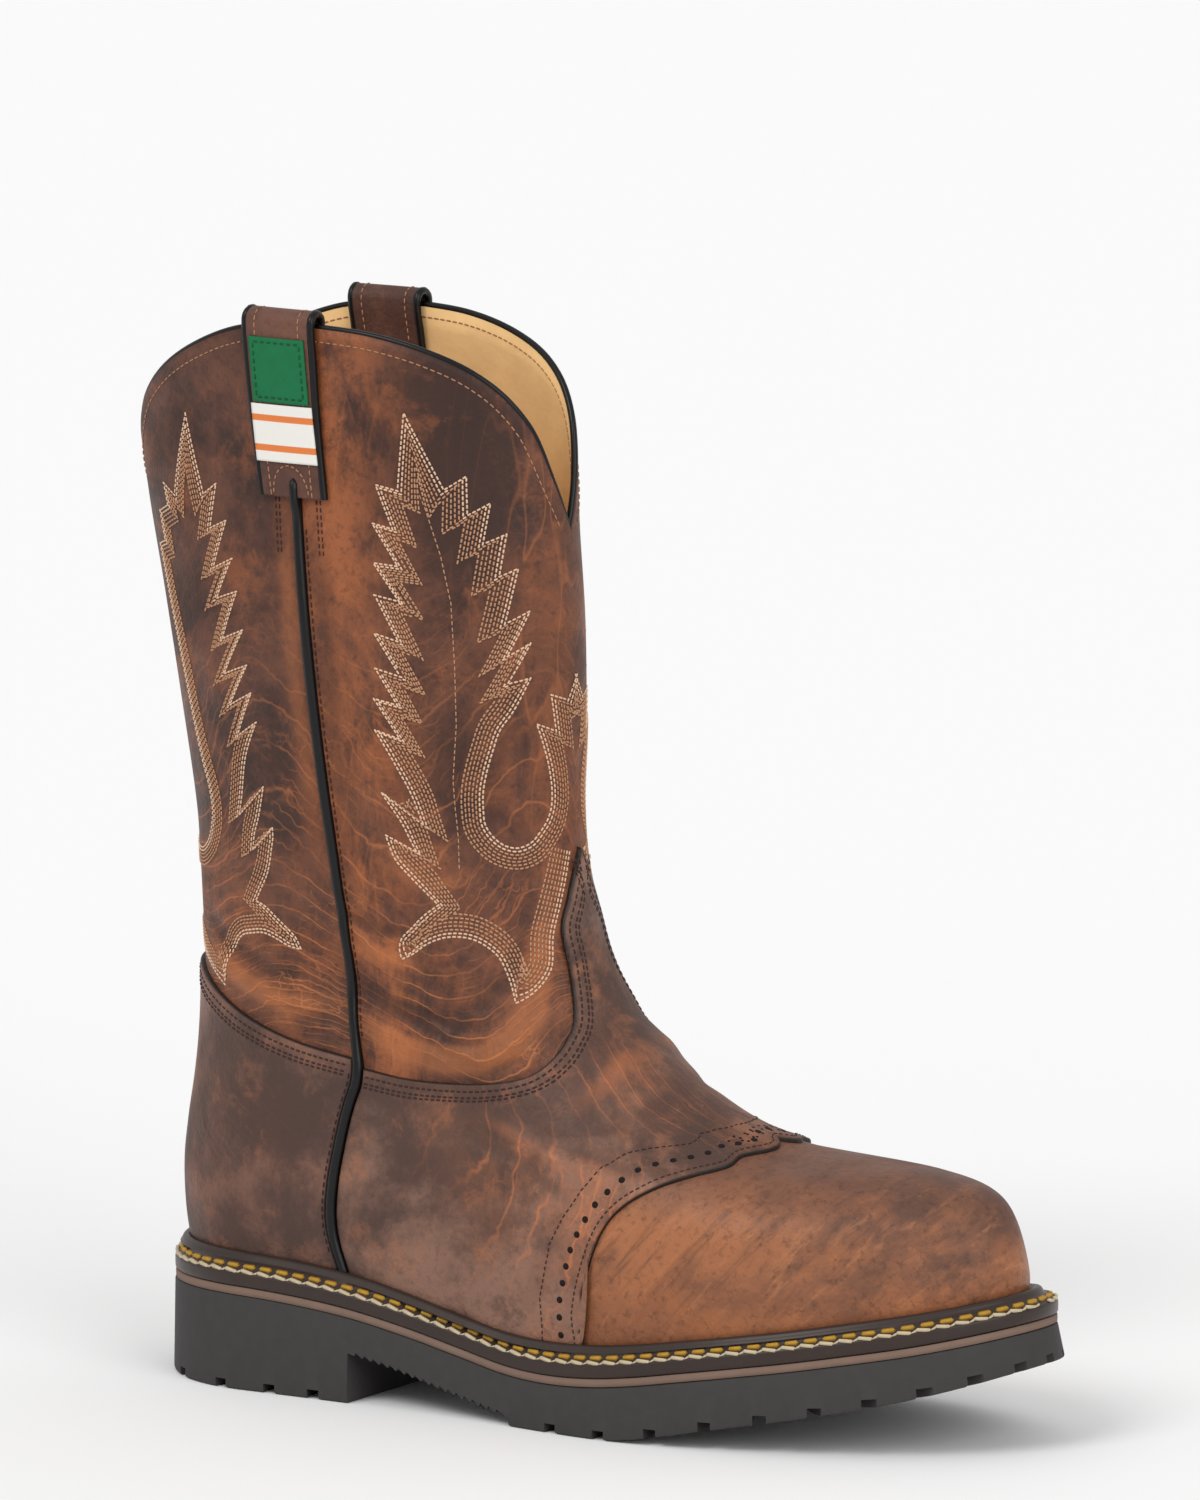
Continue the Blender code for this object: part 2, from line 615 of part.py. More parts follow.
def make_label(name, size, material):
    low, high, half_width = size
    rows = np.linspace(low, high, 4)
    base = np.interp(rows, STRAP_PATH[:6, 1], STRAP_PATH[:6, 0]) + STRAP_THICK + GAP
    path = np.stack([base, rows, np.ones_like(rows)], -1)
    raised = path.copy()
    raised[:, 0] += LABEL_THICK
    across = np.linspace(-1, 1, 4)
    inner = strap_points(-1, path, half_width, across)
    outer = strap_points(-1, raised, half_width, across)
    return patch_solid(name, outer, inner, material, smooth=False)


def make_binding(material):
    """Thin cord that lies on the collar's edge."""
    turn = np.arange(TURNS) / TURNS
    level = level_at(collar_height(turn))
    edge = skin(turn, level, np.full(TURNS, -WALL / 2))
    normal = form_normal(turn, level)
    along = np.roll(edge, -1, 0) - np.roll(edge, 1, 0)
    along = along / np.linalg.norm(along, axis=1, keepdims=True)
    upward = np.cross(along, normal)
    upward = upward * np.sign(upward[:, 2:3])
    centre = edge + upward * (CORD_RADIUS + GAP)
    rings = []
    for k in range(5):
        angle = 2 * math.pi * k / 5
        rings.append(centre + CORD_RADIUS * (math.cos(angle) * normal + math.sin(angle) * upward))
    return ring_solid("collar_binding", np.array(rings), material)


def main():
    for item in list(bpy.data.objects):
        bpy.data.objects.remove(item, do_unlink=True)

    shaft_leather = make_material("shaft_leather", (0.145, 0.062, 0.032), 0.48)
    vamp_leather = make_material("vamp_leather", (0.135, 0.068, 0.042), 0.5)
    counter_leather = make_material("counter_leather", (0.12, 0.06, 0.038), 0.5)
    strap_leather = make_material("strap_leather", (0.07, 0.035, 0.025), 0.5)
    piping_leather = make_material("piping_leather", (0.015, 0.011, 0.01), 0.35)
    welt_leather = make_material("welt_leather", (0.05, 0.032, 0.024), 0.5)
    midsole_leather = make_material("midsole_leather", (0.19, 0.12, 0.085), 0.6)
    sole_rubber = make_material("sole_rubber", (0.022, 0.021, 0.021), 0.6)
    footbed = make_material("footbed_fabric", (0.42, 0.28, 0.13), 0.9)
    patch_green = make_material("patch_fabric", (0.02, 0.17, 0.07), 0.7)
    tag_white = make_material("tag_fabric", (0.78, 0.77, 0.75), 0.8)

    make_outsole(sole_rubber)
    make_midsole(midsole_leather)
    make_welt(welt_leather)
    make_insole(footbed)
    make_upper(shaft_leather)
    clear = PIPING_WIDTH / 2 + PANEL_GAP
    turn, level = two_sided(VAMP_BOTTOM, VAMP_TOP, 19, 0.3, -clear, True)
    make_panel("vamp", turn, level, vamp_leather)
    turn, level = two_sided(COUNTER_BOTTOM, COUNTER_TOP, 11, 0.5, clear, False)
    make_panel("counter", turn, level, counter_leather)
    make_piping("side_piping_lateral", -1, piping_leather)
    make_piping("side_piping_medial", 1, piping_leather)
    make_strap("pull_strap_lateral", -1, strap_leather)
    make_strap("pull_strap_medial", 1, strap_leather)
    make_label("strap_patch", PATCH, patch_green)
    make_label("strap_tag", TAG, tag_white)
    make_binding(piping_leather)


main()
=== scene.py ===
"""Looks of the western work boot. The CAD model is loaded as a fixed frame and dressed around it.

The sizes and tables of the boot's form are in millimetres, counted from the back of the sole and up
from the floor, as in the part's own source. A place on the upper is a turn (0 at the front, 0.25 at
the outer side, 0.5 at the back, 0.75 at the inner side) and a level (a row of the FORM table).
"""
import functools
import math

import bpy
import numpy as np
from mathutils import Matrix, Vector
from mathutils.kdtree import KDTree


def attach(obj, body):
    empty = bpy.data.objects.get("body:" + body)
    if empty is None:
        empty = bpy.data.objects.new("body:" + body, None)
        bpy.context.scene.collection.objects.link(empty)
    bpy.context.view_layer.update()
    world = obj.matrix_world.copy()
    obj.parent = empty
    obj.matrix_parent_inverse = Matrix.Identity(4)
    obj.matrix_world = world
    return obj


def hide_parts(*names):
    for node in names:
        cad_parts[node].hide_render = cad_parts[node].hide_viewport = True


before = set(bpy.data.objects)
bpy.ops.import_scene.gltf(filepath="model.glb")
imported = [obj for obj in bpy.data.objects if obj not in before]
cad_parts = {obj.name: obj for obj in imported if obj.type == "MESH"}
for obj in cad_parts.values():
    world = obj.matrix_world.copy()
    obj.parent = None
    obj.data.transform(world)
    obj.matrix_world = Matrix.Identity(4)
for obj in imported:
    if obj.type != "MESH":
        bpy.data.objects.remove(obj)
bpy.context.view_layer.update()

MM = 0.001

# Main sizes of the boot
SOLE_LENGTH = 316.5
HEEL_CENTRE = 50.0
HEEL_BREAST = 87.5
TREAD_BACK = 152.0
MIDSOLE_THICK = 2.7
WALL = 2.2
LINING = 1.0
PANEL_RISE = 1.7
COLLAR_CORD_RADIUS = 1.1
COLLAR_CORD_IN = 0.15
COLLAR_CORD_UP = 0.3
GAP = 0.3
HEEL_ROUND = 0.1424
TOE_ROUND = 0.31
GROOVE_DEPTH = 2.9
GROOVE_WIDTH = 4.4
RIB_PITCH = 3.3
RIB_DEPTH = 1.1

# Sole outline: share of the length, half width, shift of the middle to the inner side
SOLE_OUTLINE = np.array([
    (0.000, 45.0, 0.0), (0.140, 45.0, 0.0), (0.276, 44.5, -0.8), (0.360, 43.0, -3.0),
    (0.460, 45.5, -2.8), (0.530, 50.0, -1.2), (0.600, 54.0, 1.2), (0.680, 55.3, 4.0),
    (0.760, 55.0, 7.0), (0.840, 54.5, 9.0), (0.920, 54.0, 10.3), (1.000, 54.0, 10.5),
])

# Top of the outsole along the length: distance from the back, height
SOLE_TOP = np.array([
    (-30, 30.3), (0, 30.5), (40, 31.0), (63, 30.0), (87, 27.8), (110, 24.0), (132, 19.6), (149, 16.4),
    (167, 15.4), (185, 16.4), (201, 18.5), (217, 21.2), (232, 23.6), (251, 26.6), (269, 29.7),
    (290, 33.4), (304, 36.4), (317, 39.4), (340, 44.0),
])

# Bottom of the tread along the length: distance from the back, height
SOLE_BOTTOM = np.array([
    (-30, 0), (0, 0), (150, 0), (192, 0), (205, 2.0), (226, 6.3), (242, 9.3), (256, 12.0), (277, 16.3),
    (293, 20.2), (304, 23.4), (317, 27.6), (340, 34.0),
])

# Underside of the waist between heel and forefoot tread: distance from the back, height
WAIST = np.array([(87.5, 16.4), (106, 12.9), (118, 10.0), (134, 6.4), (152, 2.6)])

# Islands in the tread: middle x, middle y, half length, half width
HEEL_ISLAND = (50.0, 0.0, 23.0, 15.0)
FORE_ISLAND = (224.0, 4.0, 60.0, 27.0)

# Where the groove at the sole's tip meets the forefoot island: x, y
ISLAND_TIP = (284.0, 4.0)

# Tread grooves on each side: x at the outline, x at the island
HEEL_GROOVES = [(74, 66), (57, 54), (38, 42), (18, 33), (4, 28.5)]
FORE_GROOVES = [
    (169, 172), (188, 187), (207, 202), (226, 217), (244, 231),
    (261, 244), (277, 256), (292, 266), (304.5, 275), (313.5, 281),
]

# Form of the upper, a row per ring from the welt to the collar:
# back x, back z, front x, front z, back rounding, front rounding,
# half width at shares 0, 0.25, 0.5, 0.75 and 1 of the length, follows the sole top, follows its swing
FORM = np.array([
    (7.0, 33.95, 305.5, 40.3, 0.15, 0.31, 35.0, 35.0, 38.5, 46.5, 43.5, 1.0, 1.0),
    (3.5, 50.0, 307.5, 56.0, 0.15, 0.31, 35.5, 36.0, 40.5, 48.0, 44.0, 0.9, 1.0),
    (2.2, 67.0, 299.5, 77.5, 0.16, 0.31, 35.0, 36.0, 40.5, 46.0, 38.5, 0.6, 1.0),
    (3.5, 82.0, 280.0, 85.5, 0.17, 0.33, 33.5, 35.0, 40.0, 38.5, 27.5, 0.3, 1.0),
    (5.5, 96.0, 251.0, 87.5, 0.19, 0.45, 32.0, 34.0, 38.0, 35.5, 22.5, 0.1, 0.9),
    (6.8, 110.0, 225.5, 91.0, 0.22, 0.50, 31.0, 33.0, 36.0, 37.0, 25.5, 0.0, 0.7),
    (7.5, 124.0, 200.5, 100.0, 0.25, 0.50, 31.0, 32.0, 34.5, 38.5, 35.0, 0.0, 0.45),
    (7.2, 138.0, 178.5, 115.0, 0.30, 0.50, 31.0, 32.0, 32.5, 37.5, 40.0, 0.0, 0.25),
    (6.2, 152.0, 162.5, 131.5, 0.36, 0.50, 31.5, 32.0, 33.0, 37.0, 38.5, 0.0, 0.1),
    (5.2, 168.0, 152.5, 152.0, 0.43, 0.50, 33.0, 33.5, 34.5, 36.0, 37.0, 0.0, 0.0),
    (3.8, 187.0, 146.5, 185.0, 0.50, 0.50, 36.0, 36.5, 36.5, 36.5, 36.0, 0.0, 0.0),
    (-1.5, 222.0, 146.5, 222.0, 0.50, 0.50, 39.5, 39.5, 39.5, 39.5, 39.5, 0.0, 0.0),
    (-7.5, 255.0, 146.0, 255.0, 0.50, 0.50, 40.0, 40.0, 40.0, 40.0, 40.0, 0.0, 0.0),
    (-14.5, 287.0, 144.5, 287.0, 0.50, 0.50, 37.0, 37.0, 37.0, 37.0, 37.0, 0.0, 0.0),
    (-19.5, 318.0, 144.5, 318.0, 0.50, 0.50, 34.5, 34.5, 34.5, 34.5, 34.5, 0.0, 0.0),
    (-21.5, 352.0, 146.0, 352.0, 0.50, 0.50, 33.0, 33.0, 33.0, 33.0, 33.0, 0.0, 0.0),
])

# Columns of FORM
BACK_X, BACK_Z, FRONT_X, FRONT_Z, BACK_ROUND, FRONT_ROUND = range(6)
WIDTHS = slice(6, 11)
FOLLOWS_SOLE, FOLLOWS_SWING = 11, 12
WIDTH_STEP = 0.25

# First ring of FORM that lies about flat, and so has one height
FIRST_FLAT_RING = 10

# Steps in turn and level over which the skin's direction is taken
TURN_STEP = 0.002
LEVEL_STEP = 0.02

# Rough length in millimetres of one full turn and of one level
TURN_LENGTH = 520.0
LEVEL_LENGTH = 33.0

# Sideways swing of the foot: share of the sole length, shift to the inner side
SWING = np.array([
    (0.00, 0.0), (0.25, 0.0), (0.45, -3.4), (0.60, -0.9), (0.70, 2.8), (0.80, 6.6), (0.90, 9.6),
    (1.00, 10.0), (1.10, 10.0),
])

# Collar edge of the leather: turn away from the front or back, height at the front, at the back
COLLAR = np.array([
    (0.00, 284.5, 284.5), (0.03, 299.5, 297.0), (0.06, 316.0, 309.0), (0.09, 327.5, 320.0),
    (0.12, 335.5, 329.0), (0.16, 342.5, 338.5), (0.20, 346.8, 345.5), (0.25, 348.6, 348.6),
])

# Side seam: level, turn
SIDE_SEAM = np.array([
    (0.6, 0.333), (1.4, 0.336), (2.2, 0.332), (3.0, 0.325), (4.4, 0.306), (5.5, 0.289), (6.2, 0.281),
    (7.2, 0.268), (8.3, 0.254), (9.5, 0.249), (11.0, 0.251), (13.2, 0.252),
])

# Vamp edges from the side seam (share 0) to the middle of the instep (share 1): share, turn, level
VAMP_BOTTOM = np.array([
    (0.00, 0.333, 0.30), (0.12, 0.292, 0.30), (0.25, 0.250, 0.30), (0.30, 0.231, 0.30),
    (0.37, 0.228, 1.10), (0.43, 0.222, 1.62), (0.48, 0.213, 2.10), (0.54, 0.200, 2.55),
    (0.60, 0.182, 2.95), (0.66, 0.160, 3.30), (0.73, 0.132, 3.70), (0.80, 0.105, 4.25),
    (0.88, 0.068, 4.65), (1.00, 0.000, 5.15),
])
VAMP_TOP = np.array([
    (0.00, 0.288, 5.50), (0.09, 0.262, 5.53), (0.23, 0.222, 5.80), (0.33, 0.193, 6.05),
    (0.44, 0.160, 6.40), (0.56, 0.125, 6.90), (0.67, 0.095, 7.40), (0.74, 0.075, 7.80),
    (0.785, 0.062, 8.25), (0.82, 0.053, 8.75), (0.85, 0.052, 9.10), (0.90, 0.034, 9.45),
    (1.00, 0.000, 9.90),
])

# Counter edges from the side seam (share 0) to the back (share 1): share, turn, level
COUNTER_BOTTOM = np.array([(0.0, 0.333, 0.30), (0.5, 0.4165, 0.30), (1.0, 0.5, 0.30)])
COUNTER_TOP = np.array([
    (0.00, 0.289, 5.70), (0.18, 0.326, 5.75), (0.32, 0.357, 5.95), (0.54, 0.403, 6.35),
    (0.78, 0.454, 6.75), (1.00, 0.500, 6.85),
])

# Pull strap from the foot of its outer leg over the collar to the foot of its inner leg:
# out from the leather, height above (or below) the collar edge, share of the full width
STRAP_PATH = np.array([
    (0.30, -55.0, 0.92), (0.35, -44.0, 0.94), (0.60, -32.0, 0.96), (0.90, -20.0, 0.98),
    (1.20, -9.0, 1.00), (1.30, -1.0, 1.00), (0.90, 2.2, 1.00), (-1.10, 3.3, 1.00),
    (-3.10, 2.2, 1.00), (-3.50, -1.0, 1.00), (-3.20, -9.0, 1.00), (-2.80, -22.0, 1.00),
])
STRAP_TURN = (0.264, 0.2535)
STRAP_HALF_WIDTH = 14.0
STRAP_THICK = 1.9
STRAP_ROWS = 90
STRAP_CORD_RADIUS = 1.35

# Creases of the leather on the outer side: depth (below 0 is a trough), width, then turn and level
# of the points that it runs through. The inner side has the same ones, a little shifted.
CREASES = [
    (-1.1, 4.5, [(0.262, 7.6), (0.240, 7.2), (0.215, 7.1), (0.190, 7.25), (0.165, 7.6)]),
    (1.3, 5.5, [(0.270, 6.7), (0.245, 6.35), (0.215, 6.35), (0.185, 6.6), (0.150, 7.1), (0.120, 7.7)]),
    (0.8, 5.0, [(0.255, 8.5), (0.225, 8.3), (0.195, 8.35)]),
    (-0.7, 3.5, [(0.250, 9.0), (0.222, 8.75), (0.196, 8.9)]),
    (-0.8, 4.0, [(0.150, 7.9), (0.125, 8.3), (0.100, 8.9), (0.075, 9.6)]),
    (0.9, 5.5, [(0.140, 7.2), (0.108, 7.9), (0.088, 8.6), (0.070, 9.4)]),
    (-0.6, 3.5, [(0.200, 10.2), (0.160, 10.0), (0.120, 10.3), (0.080, 10.1)]),
    (0.6, 4.5, [(0.210, 9.7), (0.170, 9.5), (0.130, 9.7)]),
    (-0.8, 4.0, [(0.300, 7.6), (0.330, 7.3), (0.370, 7.5), (0.420, 8.0)]),
    (1.1, 5.0, [(0.290, 6.9), (0.325, 6.6), (0.365, 6.9), (0.410, 7.3)]),
    (-0.5, 4.0, [(0.285, 8.9), (0.320, 9.2), (0.370, 9.1)]),
    (0.5, 6.0, [(0.262, 12.8), (0.264, 11.4), (0.262, 10.0)]),
    (-0.5, 6.0, [(0.238, 12.8), (0.236, 11.4), (0.236, 10.0)]),
    (-0.9, 5.0, [(0.130, 5.4), (0.100, 5.8), (0.060, 6.2), (0.020, 6.4)]),
    (0.8, 5.0, [(0.140, 5.9), (0.105, 6.4), (0.065, 6.9), (0.020, 7.1)]),
    (-0.8, 4.5, [(0.100, 7.0), (0.070, 7.4), (0.030, 7.7)]),
    (-0.6, 4.0, [(0.205, 4.6), (0.190, 3.9), (0.180, 3.3)]),
    (0.5, 4.0, [(0.225, 4.8), (0.208, 3.8), (0.197, 3.0)]),
    (-0.5, 3.5, [(0.245, 4.4), (0.228, 3.5), (0.220, 2.6)]),
    (-0.6, 4.0, [(0.300, 4.9), (0.275, 4.6), (0.250, 4.7)]),
]
INNER_SIDE_SHIFT = 0.12

# How fast a crease falls off across its width, the share of its depth that is left at its ends, and the
# length of its taper in widths
CREASE_FALL = 1.4
CREASE_END = 0.35
CREASE_TAPER = 2.2


def unit(vectors):
    """Vectors scaled to a length of 1."""
    return vectors / np.linalg.norm(vectors, axis=-1, keepdims=True)


def circle(count):
    """Angles evenly round a full circle."""
    return np.arange(count) / count * 2 * math.pi


def lengths_along(points):
    """Distance of each point from the first one, along the line through them."""
    return np.concatenate([[0], np.cumsum(np.linalg.norm(np.diff(points, axis=0), axis=1))])


def hermite(t, step, first, last, first_slope, last_slope):
    """Smooth stretch from one value to the next, with a slope at each end."""
    start = (1 + 2 * t) * (1 - t) ** 2 * first + t * (1 - t) ** 2 * step * first_slope
    end = t * t * (3 - 2 * t) * last + t * t * (t - 1) * step * last_slope
    return start + end


def cubic(places, values, wanted):
    """Smooth curve through rows of values."""
    places = np.asarray(places, float)
    values = np.asarray(values, float)
    wanted = np.asarray(wanted, float)
    slope = np.gradient(values, places, axis=0)
    i = np.clip(np.searchsorted(places, wanted, side="right") - 1, 0, len(places) - 2)
    step = places[i + 1] - places[i]
    t = np.clip((wanted - places[i]) / step, 0, 1)
    if values.ndim > 1:
        step = step[..., None]
        t = t[..., None]
    return hermite(t, step, values[i], values[i + 1], slope[i], slope[i + 1])


def quarter_round(share):
    """Height of a quarter circle at a share of its radius."""
    return np.sqrt(np.clip(1 - (1 - share) ** 2, 0, None))


def rounding(share, back, front):
    """How far the ends of an outline are rounded in, 0 at the tips and 1 between them."""
    at_back = quarter_round(np.clip(share / back, 0, 1))
    at_front = quarter_round(np.clip((1 - share) / front, 0, 1))
    return at_back * at_front


def sole_top(x):
    return cubic(SOLE_TOP[:, 0], SOLE_TOP[:, 1], x)


def sole_bottom(x):
    return np.maximum(cubic(SOLE_BOTTOM[:, 0], SOLE_BOTTOM[:, 1], x), 0.0)


def swing(x):
    return cubic(SWING[:, 0] * SOLE_LENGTH, SWING[:, 1], x)


def outline(turn, grow=0.0):
    """Edge of the sole in plan, grown outward by some millimetres."""
    angle = 2 * math.pi * np.asarray(turn, float)
    share = (1 + np.cos(angle)) / 2
    half = cubic(SOLE_OUTLINE[:, 0], SOLE_OUTLINE[:, 1], share)
    middle = cubic(SOLE_OUTLINE[:, 0], SOLE_OUTLINE[:, 2], share)
    half = half * rounding(share, HEEL_ROUND, TOE_ROUND)
    x = SOLE_LENGTH * share + grow * np.cos(angle)
    y = middle - np.sign(np.sin(angle)) * half - grow * np.sin(angle)
    return x, y


def form(turn, level):
    """Outer surface of the upper."""
    turn, level = np.broadcast_arrays(np.asarray(turn, float), np.asarray(level, float))
    row = cubic(np.arange(len(FORM)), FORM, level)
    angle = 2 * math.pi * turn
    share = (1 + np.cos(angle)) / 2
    back_x, front_x = row[..., BACK_X], row[..., FRONT_X]
    x = back_x + (front_x - back_x) * share
    straight = row[..., BACK_Z] + (row[..., FRONT_Z] - row[..., BACK_Z]) * share
    back_top = sole_top(back_x)
    chord_top = back_top + (sole_top(front_x) - back_top) * share
    z = straight + row[..., FOLLOWS_SOLE] * (sole_top(x) - chord_top)
    widths = row[..., WIDTHS]
    slope = np.gradient(widths, WIDTH_STEP, axis=-1)
    i = np.clip((share / WIDTH_STEP).astype(int), 0, widths.shape[-1] - 2)
    t = share / WIDTH_STEP - i

    def at(table, index):
        return np.take_along_axis(table, index[..., None], -1)[..., 0]

    half = hermite(t, WIDTH_STEP, at(widths, i), at(widths, i + 1), at(slope, i), at(slope, i + 1))
    half = half * rounding(share, row[..., BACK_ROUND], row[..., FRONT_ROUND])
    y = swing(x) * row[..., FOLLOWS_SWING] - np.sign(np.sin(angle)) * half
    return np.stack([x, y, z], -1)


def form_steps(turn, level):
    """Change of place for one full turn and for one level."""
    turn = np.asarray(turn)
    level = np.asarray(level)
    around = (form(turn + TURN_STEP, level) - form(turn - TURN_STEP, level)) / (2 * TURN_STEP)
    upward = (form(turn, level + LEVEL_STEP) - form(turn, level - LEVEL_STEP)) / (2 * LEVEL_STEP)
    return around, upward


def form_normal(turn, level):
    around, upward = form_steps(turn, level)
    return unit(np.cross(upward, around))


def form_speed(turn, level):
    return np.linalg.norm(form_steps(turn, level)[0], axis=-1)


def to_segment(points, start, end):
    """Distance of points to a straight stretch."""
    run = end - start
    share = np.clip((points - start) @ run / (run @ run), 0, 1)
    return np.linalg.norm(points - start - share[..., None] * run, axis=-1)


def crease_lines():
    """Every crease as depth, width and points in space, for both sides of the boot."""
    lines = []
    for depth, width, route in CREASES:
        for side in (1, -1):
            turns = np.array([side * turn for turn, level in route])
            levels = np.array([level for turn, level in route])
            if side < 0:
                levels = levels + INNER_SIDE_SHIFT
            lines.append((depth, width, form(turns, levels)))
    return lines


CREASE_LINES = crease_lines()


def creasing(points):
    """How far the folds of the leather lift or sink each point."""
    total = np.zeros(points.shape[:-1])
    for depth, width, line in CREASE_LINES:
        box = (points >= line.min(0) - 3 * width) & (points <= line.max(0) + 3 * width)
        near = box.all(-1)
        if not near.any():
            continue
        some = points[near]
        distance = np.min([to_segment(some, a, b) for a, b in zip(line[:-1], line[1:])], axis=0)
        ends = np.minimum(np.linalg.norm(some - line[0], axis=-1), np.linalg.norm(some - line[-1], axis=-1))
        taper = np.clip(ends / (CREASE_TAPER * width), 0, 1)
        shape = np.exp(-(distance / width) ** 2 * CREASE_FALL)
        total[near] += depth * shape * (CREASE_END + (1 - CREASE_END) * taper)
    return total


def skin(turn, level, out, creased=True):
    """Point of the upper moved out (or in, when negative) along its normal."""
    place = form(turn, level)
    rise = np.asarray(out, float)
    if creased:
        rise = rise + creasing(place)
    return place + form_normal(turn, level) * rise[..., None]


def collar_height(turn):
    """Height of the collar's leather edge."""
    turn = np.asarray(turn, float) % 1.0
    away = np.abs((turn + 0.25) % 0.5 - 0.25)
    both = cubic(COLLAR[:, 0], COLLAR[:, 1:], away)
    front = np.minimum(turn, 1 - turn) < 0.25
    return np.where(front, both[..., 0], both[..., 1])


def level_at(height):
    """Level of a height on the shaft, where every ring lies flat."""
    return np.interp(height, FORM[FIRST_FLAT_RING:, BACK_Z], np.arange(FIRST_FLAT_RING, len(FORM)))


def seam_turn(level):
    """Turn of the side seam; past the ends of its table it stays the same."""
    return cubic(SIDE_SEAM[:, 0], SIDE_SEAM[:, 1], level)


def welt_base(x):
    return sole_top(x) + MIDSOLE_THICK + 2 * GAP


def on_side(turn, side):
    """Turn on the outer side (-1) as it is, or mirrored to the inner side (1)."""
    return turn if side < 0 else -turn


def make_mesh(name, points, faces, material, attributes=None, smooth=True, turn_out=True):
    """Object from points in millimetres and an array of faces with the same number of corners."""
    points = np.ascontiguousarray(np.asarray(points, float).reshape(-1, 3))
    faces = np.ascontiguousarray(np.asarray(faces, np.int32))
    points = (points - np.array([HEEL_CENTRE, 0.0, 0.0])) * MM
    if turn_out:
        a, b, c = points[faces[:, 0]], points[faces[:, 1]], points[faces[:, 2]]
        volume = np.einsum("ij,ij->i", a, np.cross(b, c)).sum()
        if faces.shape[1] == 4:
            volume += np.einsum("ij,ij->i", a, np.cross(c, points[faces[:, 3]])).sum()
        if volume < 0:
            faces = np.ascontiguousarray(faces[:, ::-1])
    mesh = bpy.data.meshes.new(name)
    corners = faces.shape[1]
    mesh.vertices.add(len(points))
    mesh.vertices.foreach_set("co", points.astype(np.float32).ravel())
    mesh.loops.add(faces.size)
    mesh.loops.foreach_set("vertex_index", faces.ravel())
    mesh.polygons.add(len(faces))
    mesh.polygons.foreach_set("loop_start", np.arange(0, faces.size, corners, dtype=np.int32))
    mesh.polygons.foreach_set("loop_total", np.full(len(faces), corners, np.int32))
    mesh.update(calc_edges=True)
    for label, values in (attributes or {}).items():
        layer = mesh.attributes.new(label, "FLOAT", "POINT")
        layer.data.foreach_set("value", np.asarray(values, np.float32).ravel())
    mesh.materials.append(material)
    if smooth:
        mesh.shade_smooth()
    result = bpy.data.objects.new(name, mesh)
    bpy.context.scene.collection.objects.link(result)
    return result


def grid_faces(rows, columns, close_rows, close_columns, base=0):
    i = np.arange(rows if close_rows else rows - 1)
    j = np.arange(columns if close_columns else columns - 1)
    i, j = np.meshgrid(i, j, indexing="ij")
    k = (i + 1) % rows
    m = (j + 1) % columns
    quads = np.stack([i * columns + j, i * columns + m, k * columns + m, k * columns + j], -1)
    return quads.reshape(-1, 4) + base


def ring_piece(name, grid, material, attributes=None):
    """Closed section (first index) carried round a closed path (second index)."""
    rows, columns = grid.shape[:2]
    return make_mesh(name, grid, grid_faces(rows, columns, True, True), material, attributes)


def patch_piece(name, outer, inner, material, attributes=None):
    """Closed solid between two open grids of the same size."""
    rows, columns = outer.shape[:2]
    count = rows * columns
    top = grid_faces(rows, columns, False, False)
    under = top[:, ::-1] + count
    border = list(range(columns))
    border += [i * columns + columns - 1 for i in range(1, rows)]
    border += [(rows - 1) * columns + j for j in range(columns - 2, -1, -1)]
    border += [i * columns for i in range(rows - 2, 0, -1)]
    border = np.array(border)
    after = np.roll(border, -1)
    side = np.stack([after, border, border + count, after + count], -1)
    points = np.concatenate([outer.reshape(-1, 3), inner.reshape(-1, 3)])
    doubled = {label: np.concatenate([np.ravel(v), np.ravel(v)]) for label, v in (attributes or {}).items()}
    return make_mesh(name, points, np.concatenate([top, under, side]), material, doubled)


def tree_of(points):
    """Search tree over points, to find the nearest one."""
    tree = KDTree(len(points))
    for k, point in enumerate(points):
        tree.insert(point, k)
    tree.balance()
    return tree


def border_distance(grid):
    """Distance of every point of an open grid to the grid's own border."""
    tree = tree_of(np.concatenate([grid[0], grid[-1], grid[:, 0], grid[:, -1]]))
    return np.array([tree.find(p)[2] for p in grid.reshape(-1, 3)]).reshape(grid.shape[:2])


def evenly(points, pitch):
    """Places along a line of points, one in the middle of each pitch, counted in points."""
    along = lengths_along(points)
    count = max(int(along[-1] / pitch), 1)
    wanted = (np.arange(count) + 0.5) * along[-1] / count
    return np.interp(wanted, along, np.arange(len(points)))


def sample(values, index):
    i = np.clip(np.floor(index).astype(int), 0, len(values) - 2)
    t = index - i
    if np.ndim(values) > 1:
        t = t[:, None]
    return values[i] * (1 - t) + values[i + 1] * t


def heading(line, index, reach):
    """Direction of a line of points at places that are counted in points."""
    ahead = np.minimum(index + reach, len(line) - 1)
    return sample(line, ahead) - sample(line, np.maximum(index - reach, 0))


# Cross sections of a stitch: place along its length, share of its width and rise
STITCH_RINGS = [(-0.33, 0.85), (0.33, 0.85)]

# How far the tips and the underside of a stitch lie below its middle, as shares of its rise
STITCH_TIP = 0.4
STITCH_UNDER = 0.6


